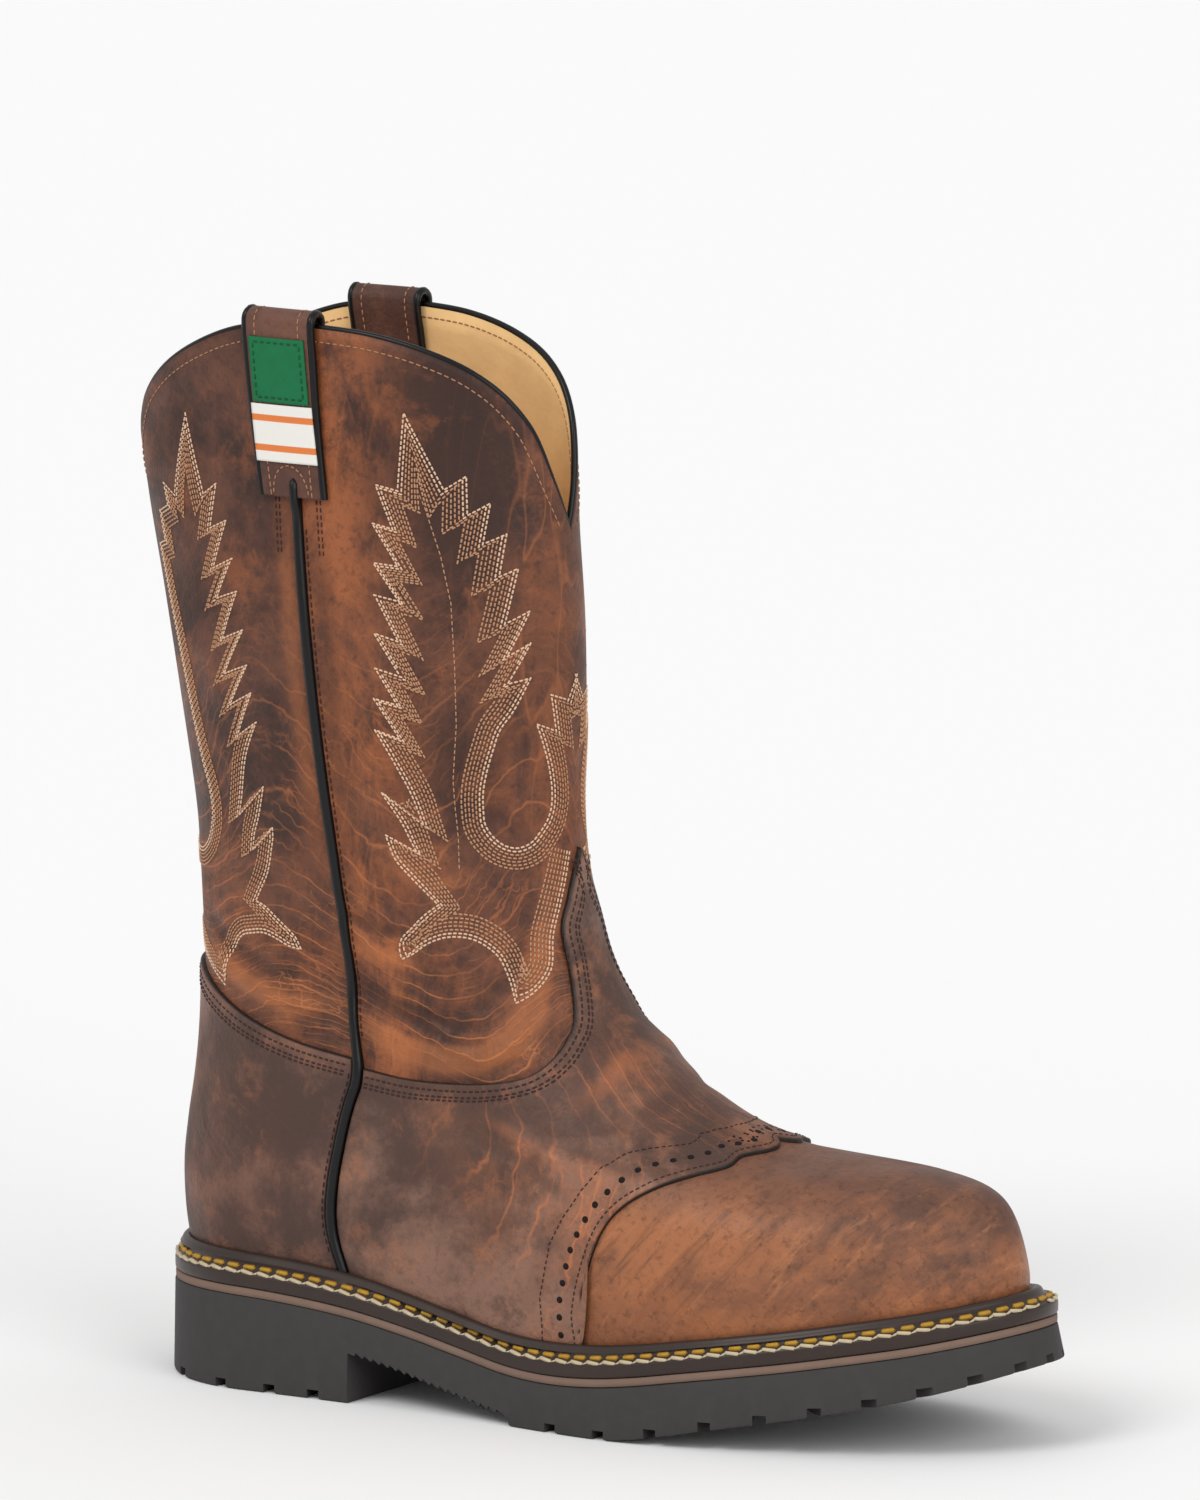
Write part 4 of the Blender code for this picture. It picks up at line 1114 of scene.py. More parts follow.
def ring_cutter(island):
    """The groove round an island of the tread."""
    cx, cy, half_length, half_width = island
    angle = circle(64)
    rings = []
    for grow, low in ((0.0, True), (0.0, False), (GROOVE_WIDTH, False), (GROOVE_WIDTH, True)):
        x = cx + (half_length + grow) * np.cos(angle)
        y = cy + (half_width + grow) * np.sin(angle)
        z = np.full_like(x, CUT_FLOOR) if low else sole_bottom(x) + GROOVE_DEPTH
        rings.append(np.stack([x, y, z], -1))
    return make_mesh("ring_cutter", rings, grid_faces(4, 64, True, True), None, smooth=False)


def make_outsole():
    outsole = outsole_body()
    cut(outsole, waist_cutter())
    cut(outsole, groove_cutter())
    cut(outsole, ring_cutter(HEEL_ISLAND))
    cut(outsole, ring_cutter(FORE_ISLAND))
    cut(outsole, wave_cutter())
    outsole.data.materials.clear()
    outsole.data.materials.append(MATERIALS["rubber"])
    outsole.data.set_sharp_from_angle(angle=math.radians(SHARP_ANGLE))
    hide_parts("outsole")
    return outsole


def prism(name, ends):
    """Solid between two equal outlines, with its faces turned outward."""
    count = ends.shape[1]
    points = (ends.reshape(-1, 3) - np.array([HEEL_CENTRE, 0.0, 0.0])) * MM
    faces = [tuple(range(count)), tuple(range(2 * count - 1, count - 1, -1))]
    for k in range(count):
        m = (k + 1) % count
        faces.append((m, k, count + k, count + m))
    volume = 0.0
    for face in faces:
        for a, b in zip(face[1:-1], face[2:]):
            volume += points[face[0]] @ np.cross(points[a], points[b])
    if volume < 0:
        faces = [face[::-1] for face in faces]
    mesh = bpy.data.meshes.new(name)
    mesh.from_pydata([tuple(p) for p in points], [], faces)
    mesh.update()
    result = bpy.data.objects.new(name, mesh)
    bpy.context.scene.collection.objects.link(result)
    return result


# Wavy grooves across the islands: pitch, depth, swing to each side, distance to the island's edge
WAVE_PITCH = 4.6
WAVE_DEPTH = 1.2
WAVE_SWING = 1.5
WAVE_MARGIN = 3.0


def wave_cutter():
    """Shallow wavy grooves across the two islands of the tread."""
    points = []
    faces = []
    base = 0
    for cx, cy, half_length, half_width in (HEEL_ISLAND, FORE_ISLAND):
        for x0 in np.arange(cx - half_length + 5.0, cx + half_length - WAVE_MARGIN, WAVE_PITCH):
            share = (x0 - cx) / (half_length - WAVE_SWING)
            reach = half_width * math.sqrt(max(1 - share ** 2, 0)) - WAVE_MARGIN
            if reach < 4:
                continue
            y = np.linspace(cy - reach, cy + reach, 25)
            x = x0 + WAVE_SWING * np.cos((y - cy) / reach * math.pi * 2.5)
            rows = []
            for shift, low in ((-0.9, True), (-0.5, False), (0.5, False), (0.9, True)):
                z = sole_bottom(x) - 1.0 if low else sole_bottom(x) + WAVE_DEPTH
                rows.append(np.stack([x + shift, y, z], -1))
            points.append(np.array(rows).reshape(-1, 3))
            faces.append(grid_faces(4, 25, True, False, base))
            faces.append(base + np.array([(0, 25, 50, 75), (99, 74, 49, 24)]))
            base += 100
    return make_mesh("wave_cutter", np.concatenate(points), np.concatenate(faces), None, smooth=False)


def make_midsole():
    turn = half_step_turns(300)
    loops = []
    for grow, rise in ((-1.0, 0.0), (-0.3, 0.12), (-0.2, 1.3), (-0.3, MIDSOLE_THICK - 0.12),
                       (-1.0, MIDSOLE_THICK)):
        x, y = outline(turn, grow)
        loops.append(np.stack([x, y, sole_top(x) + GAP * 0.5 + rise], -1))
    piece = stacked_plate("midsole_look", np.array(loops), MATERIALS["midsole"])
    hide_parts("midsole")
    return piece


# Welt section: measured from "edge" (sole edge) or "leg" (upper), distance inward or outward, height
WELT_SECTION = [
    ("edge", 0.5, -0.2), ("edge", 0.05, 0.3), ("edge", 0.0, 1.6), ("edge", 0.0, 3.4), ("edge", 0.15, 4.1),
    ("edge", 0.6, 4.55), ("edge", 1.4, 5.05), ("edge", 2.8, 6.2), ("edge", 3.9, 7.1), ("leg", 5.4, 7.3),
    ("leg", 5.0, 7.6), ("leg", 4.6, 8.3), ("leg", 4.0, 9.1), ("leg", 3.3, 9.6), ("leg", 2.5, 9.8),
    ("leg", 1.7, 9.6), ("leg", 1.0, 8.9), ("leg", 0.5, 8.0), ("leg", -0.3, 6.5), ("leg", -0.3, 0.0),
]


# Height above the welt's foot of the first level of the upper
FIRST_LEVEL_HEIGHT = 17.0


def welt_point(turn, start, distance, height):
    """Point of the welt's section at one turn."""
    edge_x, edge_y = outline(turn)
    level = np.full(np.shape(turn), height / FIRST_LEVEL_HEIGHT)
    leg = skin(turn, level, np.full(np.shape(turn), 0.2), False)
    span = np.hypot(leg[..., 0] - edge_x, leg[..., 1] - edge_y)
    share = distance / span if start == "edge" else 1 - distance / span
    x = edge_x + (leg[..., 0] - edge_x) * share
    y = edge_y + (leg[..., 1] - edge_y) * share
    return np.stack([x, y, welt_base(x) + height], -1)


def make_welt():
    turn = np.arange(420) / 420
    rings = [welt_point(turn, start, distance, height) for start, distance, height in WELT_SECTION]
    piece = ring_piece("welt_look", np.array(rings), MATERIALS["welt"])
    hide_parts("welt")
    return piece


def make_insole():
    turn = half_step_turns(160)
    loops = []
    for level, rise in ((0.04, 0.0), (0.2, 3.0)):
        edge = skin(turn, np.full(turn.shape, level), np.full(turn.shape, -WALL - 0.1), False)
        loops.append(np.stack([edge[:, 0], edge[:, 1], welt_base(edge[:, 0]) + rise], -1))
    piece = stacked_plate("insole_look", np.array(loops), MATERIALS["footbed"])
    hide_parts("insole")
    return piece


# Side cord: level and half width, level and height above the leather
SIDE_CORD_WIDTHS = np.array([
    (0, 2.0), (5.2, 2.0), (6.4, 1.75), (13.35, 1.75), (13.38, 1.5), (13.40, 1.0), (13.41, 0.4),
])
SIDE_CORD_HEIGHTS = np.array([
    (0, 3.0), (5.2, 3.0), (6.4, 2.1), (13.0, 2.1), (13.15, 3.6), (13.35, 3.6), (13.41, 2.4),
])


def make_piping(name, side, node):
    """Rounded cord over the side seam, from the welt to the foot of the pull strap."""
    level = np.concatenate([np.linspace(0.3, 13.35, 196), [13.38, 13.40, 13.41]])
    centre = seam_turn(level)
    speed = form_speed(centre, level)
    narrow = np.interp(level, *SIDE_CORD_WIDTHS.T)
    high = np.interp(level, *SIDE_CORD_HEIGHTS.T)
    outer = []
    inner = []
    for angle in np.linspace(0, math.pi, 11):
        turn = centre - math.cos(angle) * narrow / speed
        outer.append(skin(on_side(turn, side), level, high * math.sin(angle) ** 0.8))
        inner.append(skin(on_side(turn, side), level, np.full(level.shape, -0.4)))
    piece = patch_piece(name, np.array(outer), np.array(inner), MATERIALS["cord"])
    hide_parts(node)
    return piece


def strap_points(side, path, half_width, across):
    """Grid of points of a band that follows the shaft; its rows follow the path."""
    share = np.clip(path[:, 1] / STRAP_PATH[0, 1], 0, 1)
    turn = STRAP_TURN[0] + (STRAP_TURN[1] - STRAP_TURN[0]) * share
    if side > 0:
        turn = 1 - turn
    rim = float(collar_height(0.25))
    height = rim + path[:, 1]
    level = level_at(np.minimum(height, rim))
    speed = form_speed(turn, level)
    rows = []
    for place in across:
        point = skin(turn + place * half_width * path[:, 2] / speed, level, path[:, 0], False)
        point[:, 2] = height
        rows.append(point)
    return np.array(rows)


def strap_line(count):
    """The strap's path as evenly spaced rows, with the direction square to it."""
    along = lengths_along(STRAP_PATH[:, :2])
    path = cubic(along, STRAP_PATH, np.linspace(0, along[-1], count))
    step = unit(np.gradient(path[:, :2], axis=0))
    return path, np.stack([step[:, 1], -step[:, 0]], -1)


def lifted(path, square, amount):
    """The strap's path moved outward by some millimetres."""
    moved_path = path.copy()
    moved_path[:, :2] += square * amount
    return moved_path


def make_strap(name, side, node):
    path, square = strap_line(STRAP_ROWS)
    across = np.linspace(-1, 1, 25)
    inner = strap_points(side, path, STRAP_HALF_WIDTH - 1.0, across)
    outer = strap_points(side, lifted(path, square, STRAP_THICK), STRAP_HALF_WIDTH - 1.0, across)
    values = {"rub": np.full(outer.shape[:2], 0.15)}
    piece = patch_piece(name, outer, inner, MATERIALS["strap"], values)
    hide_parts(node)
    return piece


def make_strap_edges(name, side):
    """Black rolled edges along both sides of a pull strap, in one mesh."""
    path, square = strap_line(STRAP_ROWS)
    points = []
    for sign in (-1, 1):
        for angle in circle(10):
            out = STRAP_THICK / 2 + STRAP_CORD_RADIUS * math.sin(angle)
            place = sign * (STRAP_HALF_WIDTH - STRAP_CORD_RADIUS + STRAP_CORD_RADIUS * math.cos(angle))
            points.append(strap_points(side, lifted(path, square, out), place, [1.0])[0])
    first = grid_faces(10, STRAP_ROWS, True, False)
    faces = np.concatenate([first[:, ::-1], first + 10 * STRAP_ROWS])
    piece = make_mesh(name, points, faces, MATERIALS["cord"])
    return piece


# Labels on the outer pull strap: lower and upper height below the collar, half width
PATCH = (-25.0, -4.0, 10.5)
TAG = (-44.0, -25.6, 11.5)
LABEL_GAP = 0.15
LABEL_THICK = 0.7
LABEL_GRID = 24


def make_label(name, size, material, node):
    low, high, half_width = size
    path = strap_line(400)[0]
    leg = path[:, 1] < -1.0
    leg[np.argmax(path[:, 1]):] = False
    heights = np.linspace(low, high, LABEL_GRID)
    base = np.interp(heights, path[leg][:, 1], path[leg][:, 0]) + STRAP_THICK + LABEL_GAP
    rows = np.stack([base, heights, np.ones(LABEL_GRID)], -1)
    raised = rows + np.array([LABEL_THICK, 0.0, 0.0])
    across = np.linspace(-1, 1, LABEL_GRID)
    inner = strap_points(-1, rows, half_width, across)
    outer = strap_points(-1, raised, half_width, across)
    values = {"up": np.broadcast_to(across, (LABEL_GRID, LABEL_GRID))}
    piece = patch_piece(name, outer, inner, material, values)
    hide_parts(node)
    return piece


def collar_frame(count):
    """Middle of the collar's edge with the directions out and up, square to the edge."""
    turn = np.arange(count) / count
    level = level_at(collar_height(turn))
    edge = skin(turn, level, np.full(turn.shape, -WALL / 2), False)
    normal = form_normal(turn, level)
    along = unit(np.roll(edge, -1, 0) - np.roll(edge, 1, 0))
    upward = np.cross(along, normal)
    upward = upward * np.sign(upward[:, 2:3])
    return edge, normal, upward


def make_binding():
    """Cord that covers the collar's edge."""
    edge, normal, upward = collar_frame(500)
    rings = []
    for angle in circle(14):
        outward = COLLAR_CORD_RADIUS * math.cos(angle) - COLLAR_CORD_IN
        high = COLLAR_CORD_RADIUS * math.sin(angle) + COLLAR_CORD_UP
        rings.append(edge + outward * normal + high * upward)
    piece = ring_piece("collar_cord", np.array(rings), MATERIALS["cord"])
    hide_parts("collar_binding")
    return piece


# Leaf pattern sewn on the shaft: the edge of each leaf as turn and level on the outer side, with the
# leaf's inside on the right. Corners also have the step from row to row: forward and upward (mm).
FRONT_LEAF = [
    (0.018, 9.88), (0.032, 9.62), (0.046, 9.38), (0.062, 9.08), (0.076, 8.60), (0.094, 8.30),
    (0.111, 8.08), (0.124, 7.95, 0.1, 2.4), (0.121, 8.25), (0.121, 8.50), (0.124, 8.72),
    (0.132, 8.85), (0.144, 8.93), (0.157, 8.93), (0.169, 8.88), (0.183, 8.75), (0.199, 8.50),
    (0.208, 8.38, 1.6, 1.3), (0.208, 8.53), (0.206, 8.68), (0.193, 8.95), (0.178, 9.18),
    (0.167, 9.30, 1.2, -0.1), (0.186, 9.58), (0.197, 9.75), (0.203, 10.00, 1.5, -0.9),
    (0.179, 9.85, 1.3, -0.8), (0.190, 10.15), (0.203, 10.40, 1.5, -0.9), (0.171, 10.12, 1.3, -0.8),
    (0.179, 10.40), (0.190, 10.65), (0.204, 10.95, 1.6, -0.9), (0.185, 10.88, 1.4, -0.9),
    (0.203, 11.25, 1.6, -0.9), (0.185, 11.20, 1.4, -0.9), (0.200, 11.55, 1.6, -0.9),
    (0.181, 11.48, 1.4, -0.9), (0.199, 11.90, 1.6, -0.9), (0.181, 11.83, 1.4, -0.9),
    (0.197, 12.28, 1.6, -0.9), (0.179, 12.23, 1.4, -0.9), (0.197, 12.60, 1.6, -0.9),
    (0.179, 12.58, 1.4, -0.9), (0.197, 13.00, 1.6, -0.9), (0.182, 12.95, 1.4, -0.9),
    (0.194, 13.40, 1.6, -1.0), (0.178, 13.35, 1.3, -1.1), (0.174, 14.15, 0.8, -3.4),
    (0.143, 13.38, -0.8, -1.5), (0.125, 13.53, -1.2, -1.2), (0.124, 13.12, -1.3, -1.0),
    (0.104, 13.25, -1.3, -1.0), (0.111, 12.83, -1.3, -1.0), (0.089, 12.93, -1.4, -1.0),
    (0.097, 12.50, -1.4, -1.0), (0.078, 12.58, -1.4, -1.0), (0.093, 12.03, -1.4, -1.0),
    (0.067, 12.15, -1.4, -1.0), (0.092, 11.70, -1.4, -1.0), (0.067, 11.83, -1.4, -1.0),
    (0.092, 11.43, -1.4, -1.0), (0.068, 11.48, -1.3, -0.9), (0.088, 11.15), (0.101, 10.98),
    (0.108, 10.80), (0.114, 10.62), (0.118, 10.45), (0.119, 10.28), (0.118, 10.15), (0.111, 10.03),
    (0.100, 9.95), (0.088, 9.93), (0.072, 9.98), (0.060, 10.08), (0.050, 10.18), (0.044, 10.30),
    (0.043, 10.43), (0.046, 10.60), (0.054, 10.83), (0.062, 11.03, 1.4, -1.0),
    (0.037, 10.95, 1.3, -1.0), (0.043, 11.30, 1.3, -1.0), (0.017, 11.23, 1.2, -1.0),
    (-0.003, 11.48, 0.0, -2.0),
]
REAR_LEAF = [
    (0.500, 9.75), (0.470, 9.42), (0.445, 9.28), (0.420, 9.28), (0.400, 9.48), (0.388, 9.75),
    (0.382, 9.98), (0.382, 10.20), (0.388, 10.45), (0.394, 10.75), (0.399, 11.15), (0.405, 11.60),
    (0.412, 12.08), (0.417, 12.50, 1.3, -0.9), (0.400, 12.55, 1.2, -0.9), (0.403, 12.85, 1.3, -0.9),
    (0.385, 12.93, 1.2, -0.9), (0.388, 13.15, 1.2, -1.0), (0.372, 13.05, 1.0, -1.3),
    (0.349, 13.93, 0.0, -3.3), (0.335, 13.12, -0.8, -1.4), (0.321, 13.25, -1.2, -1.0),
    (0.331, 12.78, -1.2, -0.9), (0.314, 12.88, -1.2, -0.9), (0.332, 12.38, -1.2, -0.9),
    (0.312, 12.50, -1.2, -0.9), (0.332, 12.08, -1.2, -0.9), (0.310, 12.18, -1.2, -0.9),
    (0.331, 11.68, -1.2, -0.9), (0.308, 11.80, -1.2, -0.9), (0.334, 11.33, -1.2, -0.9),
    (0.308, 11.45, -1.2, -0.9), (0.332, 11.03, -1.2, -0.9), (0.307, 11.18, -1.2, -0.9),
    (0.328, 10.75, -1.2, -0.9), (0.306, 10.90, -1.2, -0.9), (0.322, 10.58), (0.335, 10.15),
    (0.340, 10.00, -1.2, -0.7), (0.307, 10.33, -1.3, -0.9), (0.318, 9.98), (0.324, 9.80),
    (0.328, 9.58, -1.2, -0.7), (0.303, 9.93, -1.3, -0.9), (0.304, 9.80), (0.307, 9.65),
    (0.312, 9.40), (0.321, 9.10), (0.333, 8.72, -1.2, 0.0), (0.324, 8.68), (0.314, 8.53),
    (0.304, 8.35), (0.299, 8.22), (0.297, 8.00, -1.7, 1.1), (0.307, 8.00), (0.318, 8.08),
    (0.329, 8.12), (0.343, 8.03), (0.356, 7.90), (0.365, 7.70), (0.375, 7.38), (0.382, 7.05),
    (0.392, 6.55, 0.3, 2.4), (0.408, 6.75), (0.428, 6.98), (0.453, 7.23), (0.500, 7.50),
]
LEAF_VEIN = [
    (0.166, 13.45), (0.158, 13.20), (0.146, 12.70), (0.139, 12.23), (0.138, 11.60), (0.139, 11.03),
    (0.144, 10.53), (0.143, 10.00), (0.145, 9.70),
]
FRONT_LEAF_ROWS = 7
REAR_LEAF_ROWS = 6
LEAF_ROW_PITCH = 1.12
LEAF_CLEARANCE = 0.72
LEAF_CORNER_REACH = 7.0

# Kinds of stitches: pitch, share of the pitch that the thread fills, width, rise
LEAF_STITCH = (1.75, 0.88, 0.78, 0.42)
VEIN_STITCH = (2.1, 0.8, 0.5, 0.3)
PANEL_STITCH = (2.3, 0.78, 0.75, 0.22)
COUNTER_STITCH = (2.3, 0.78, 0.75, 0.35)
BAND_STITCH = (2.1, 0.78, 0.6, 0.3)
SEAM_STITCH = (2.6, 0.75, 0.7, 0.3)
COLLAR_STITCH = (2.5, 0.8, 0.62, 0.32)
FOOT_STITCH = (2.1, 0.8, 0.6, 0.3)
LINING_STITCH = (2.2, 1.8 / 2.2, 0.5, 0.3)

# Height of a thread's middle above the leather
THREAD_LIFT = 0.1

# Rear edge of the punched band along the saddle's front: turn, level
BAND_BACK = [
    (0.244, 0.55), (0.243, 1.25), (0.239, 1.62), (0.235, 1.93), (0.226, 2.35), (0.212, 2.90),
    (0.193, 3.50), (0.169, 4.08), (0.151, 4.35), (0.118, 4.73), (0.088, 5.25), (0.065, 5.43),
    (0.026, 5.58), (0.0, 5.60),
]


def moved(turn, level, step):
    """Turns and levels after a small step in space along the skin."""
    around, rising = form_steps(turn, level)
    aa = (around * around).sum(-1)
    ar = (around * rising).sum(-1)
    rr = (rising * rising).sum(-1)
    sa = (around * step).sum(-1)
    sr = (rising * step).sum(-1)
    scale = aa * rr - ar * ar
    return turn + (sa * rr - sr * ar) / scale, level + (sr * aa - sa * ar) / scale


def front_and_rise(turn, level):
    """Directions along the skin of the outer side, toward the front and upward."""
    normal = form_normal(turn, level)
    rise = unit(np.array([0.0, 0.0, 1.0]) - normal[..., 2:3] * normal)
    return np.cross(rise, normal), rise


def corner_step(row):
    """Step from row to row at a corner, as a vector in space."""
    turn, level, forward, upward = row
    front, rise = front_and_rise(turn, level)
    return front * forward + rise * upward


def leaf_stretch(rows):
    """Part of a leaf's edge from corner to corner: places as turn and level, and the step at each."""
    points = np.array([row[:2] for row in rows])
    along = lengths_along(form(points[:, 0], points[:, 1]))
    wanted = np.linspace(0, along[-1], max(int(along[-1] / 0.8), 3))
    line = cubic(along, points, wanted)
    run = np.gradient(form(line[:, 0], line[:, 1]), axis=0)
    square = unit(np.cross(run, form_normal(line[:, 0], line[:, 1]))) * LEAF_ROW_PITCH
    first = corner_step(rows[0]) if len(rows[0]) == 4 else square[0]
    last = corner_step(rows[-1]) if len(rows[-1]) == 4 else square[-1]
    share = (wanted / along[-1])[:, None]
    if len(rows) == 2:
        return line, first * (1 - share) + last * share
    near_first = np.clip(1 - wanted / LEAF_CORNER_REACH, 0, 1)[:, None]
    near_last = np.clip(1 - (along[-1] - wanted) / LEAF_CORNER_REACH, 0, 1)[:, None]
    total = np.maximum(near_first + near_last, 1)
    near_first = near_first / total
    near_last = near_last / total
    return line, square * (1 - near_first - near_last) + first * near_first + last * near_last


def leaf_rows(table, rows):
    """Nested rows of a leaf's edge, each moved inward a little more than the one before."""
    corners = [k for k, row in enumerate(table) if len(row) == 4]
    breaks = sorted({0, len(table) - 1, *corners})
    parts = [leaf_stretch(table[a:b + 1]) for a, b in zip(breaks[:-1], breaks[1:])]
    line = np.concatenate([part[0] for part in parts])
    step = np.concatenate([part[1] for part in parts])
    fresh = np.concatenate([[True], np.linalg.norm(np.diff(line, axis=0), axis=1) > 1e-9])
    line = line[fresh]
    step = step[fresh]
    return [moved(line[:, 0], line[:, 1], step * row) for row in range(rows)]


def sew_leaves(side, label):
    """Two leaves on one side of the shaft, in two meshes by colour of thread."""
    outer = StitchWork("leaf_edge_" + label, MATERIALS["pale_thread"])
    inner = StitchWork("leaf_fill_" + label, MATERIALS["rose_thread"])
    for table, rows in ((FRONT_LEAF, FRONT_LEAF_ROWS), (REAR_LEAF, REAR_LEAF_ROWS)):
        sewn = []
        for row, (turn, level) in enumerate(leaf_rows(table, rows)):
            centres, along, up = stitch_row(on_side(turn, side), level, 0.12, LEAF_STITCH[0])
            if sewn:
                tree = tree_of(sewn)
                free = np.array([tree.find(point)[2] > LEAF_CLEARANCE for point in centres])
                centres, along, up = centres[free], along[free], up[free]
            sewn.extend(centres)
            work = outer if row < 2 else inner
            work.add(centres, along, up, LEAF_STITCH[0] * LEAF_STITCH[1], *LEAF_STITCH[2:])
    vein = densify(LEAF_VEIN, 1.0)
    inner.along_skin(on_side(vein[:, 0], side), vein[:, 1], THREAD_LIFT, *VEIN_STITCH)
    return [outer.make(), inner.make()]


def sew_lining_leaves(side, label):
    """The first two rows of each leaf, which come through on the lining."""
    work = StitchWork("leaf_lining_" + label, MATERIALS["pale_thread"])
    for table in (FRONT_LEAF, REAR_LEAF):
        for turn, level in leaf_rows(table, 2):
            centres, along, up = stitch_row(on_side(turn, side), level, -WALL - 0.05, LINING_STITCH[0])
            work.add(centres, along, -up, LINING_STITCH[0] * LINING_STITCH[1], *LINING_STITCH[2:])
    return work.make()


def beside(turn, level, distance):
    """A line moved to its left (seen from outside) on the skin, by some millimetres."""
    run = np.gradient(form(turn, level), axis=0)
    return moved(turn, level, unit(np.cross(form_normal(turn, level), run)) * distance)


def trimmed(turn, level, start, end):
    """A line without its first and last millimetres."""
    along = lengths_along(form(turn, level))
    wanted = np.linspace(start, along[-1] - end, len(turn))
    return np.interp(wanted, along, turn), np.interp(wanted, along, level)


def sew_panels(vamp, counter):
    """Dark rows along the borders of the vamp, the saddle's front edge and the counter."""
    work = StitchWork("panel_stitches", MATERIALS["dark_thread"])
    out = PANEL_RISE + 0.05
    seam_rows = ((0.9, 5.3, 200, 3.2, out), (6.3, 12.9, 300, -2.7, THREAD_LIFT))
    vamp_turn, vamp_level = vamp
    for distance in (2.6, 4.9, 6.2):
        turn, level = beside(vamp_turn[-1], vamp_level[-1], -distance)
        outer = turn > 0.004
        turn, level = trimmed(turn[outer], level[outer], 1.5, 0.0)
        for side in (-1, 1):
            work.along_skin(on_side(turn, side), level, out, *PANEL_STITCH)
        turn, level = trimmed(*beside(counter[0][-1], counter[1][-1], distance), 1.5, 1.5)
        work.along_skin(turn, level, out, *COUNTER_STITCH)
    turn, level = trimmed(*beside(vamp_turn[0], vamp_level[0], 2.4), 55.0, 55.0)
    work.along_skin(turn, level, out, *BAND_STITCH)
    band = densify(BAND_BACK, 1.5)
    for side in (-1, 1):
        work.along_skin(on_side(band[:, 0], side), band[:, 1], out, *BAND_STITCH)
        for low, high, count, distance, lift in seam_rows:
            level = np.linspace(low, high, count)
            turn = seam_turn(level)
            turn = turn + distance / form_speed(turn, level)
            work.along_skin(on_side(turn, side), level, lift, *SEAM_STITCH)
    return work.make()


# Punched holes: radius and pitch in the band; the sets of four at the ridge have a place, radius and step
HOLE_RADIUS = 1.12
HOLE_PITCH = 5.6
ORNAMENT = [(0.030, 5.30), (0.052, 5.16), (0.012, 5.38), (0.074, 5.00)]
ORNAMENT_RADIUS = 0.5
ORNAMENT_STEP = 2.2


def punched_spots():
    """Turn, level and radius of each punched hole on the outer side."""
    back = densify(BAND_BACK, 1.5)
    front = cubic(VAMP_BOTTOM[:, 0], VAMP_BOTTOM[:, 1:], np.linspace(0.33, 1.0, len(back)))
    tree = tree_of(form(front[:, 0], front[:, 1]))
    nearest = [tree.find(place)[1] for place in form(back[:, 0], back[:, 1])]
    middle = 0.5 * (back + front[nearest])
    places = sample(middle, evenly(form(middle[:, 0], middle[:, 1]), HOLE_PITCH))
    spots = [(turn, level, HOLE_RADIUS) for turn, level in places]
    for turn, level in ORNAMENT:
        front, rise = front_and_rise(turn, level)
        for step in (rise, -rise, front, -front):
            spots.append((*moved(turn, level, ORNAMENT_STEP * step), ORNAMENT_RADIUS))
    return spots


def punch_band():
    """Punched holes in the band behind the saddle's front edge, and a small set at the ridge, as near-black
    plugs that paint the shade inside them.
    """
    turn, level, radius = np.array(punched_spots()).T
    turn = np.concatenate([on_side(turn, -1), on_side(turn, 1)])
    level = np.tile(level, 2)
    radius = np.tile(radius, 2)
    centre = skin(turn, level, np.full(turn.shape, PANEL_RISE + 0.03))[:, None]
    normal = form_normal(turn, level)
    first = unit(np.cross(normal, (0.0, 0.0, 1.0)))
    second = np.cross(normal, first)
    angle = circle(12)[:, None]
    reach = np.cos(angle) * first[:, None] + np.sin(angle) * second[:, None]
    rim = centre + radius[:, None, None] * reach
    points = np.concatenate([rim + normal[:, None] * 0.04, rim - normal[:, None] * 0.6], axis=1)
    ring = np.arange(12)
    after = (ring + 1) % 12
    caps = np.array([(0, 1, 10, 11), (1, 2, 9, 10), (2, 3, 8, 9), (3, 4, 7, 8), (4, 5, 6, 7)])
    faces = np.concatenate([np.stack([ring, after, after + 12, ring + 12], -1), caps[:, ::-1], caps + 12])
    faces = (faces + 24 * np.arange(len(turn))[:, None, None]).reshape(-1, 4)
    return make_mesh("punched_holes", points, faces, MATERIALS["painted_hole_shade"], smooth=False)


def sew_collar():
    """Beige row below the collar's edge, outside and inside."""
    work = StitchWork("collar_stitches", MATERIALS["tan_thread"])
    edge = np.linspace(0.007, 0.993, 900)
    level = level_at(collar_height(edge))
    work.along_skin(*beside(edge, level, 4.2), THREAD_LIFT, *COLLAR_STITCH)
    work.along_skin(*beside(edge, level, 3.6), -WALL - THREAD_LIFT, *COLLAR_STITCH)
    return work.make()


# Rows on a pull strap: inset from its edge, and the arch at its foot as half width, foot height, rise
STRAP_SEAM_INSET = 5.6
STRAP_ARCH = (6.6, -54.2, 9.2)


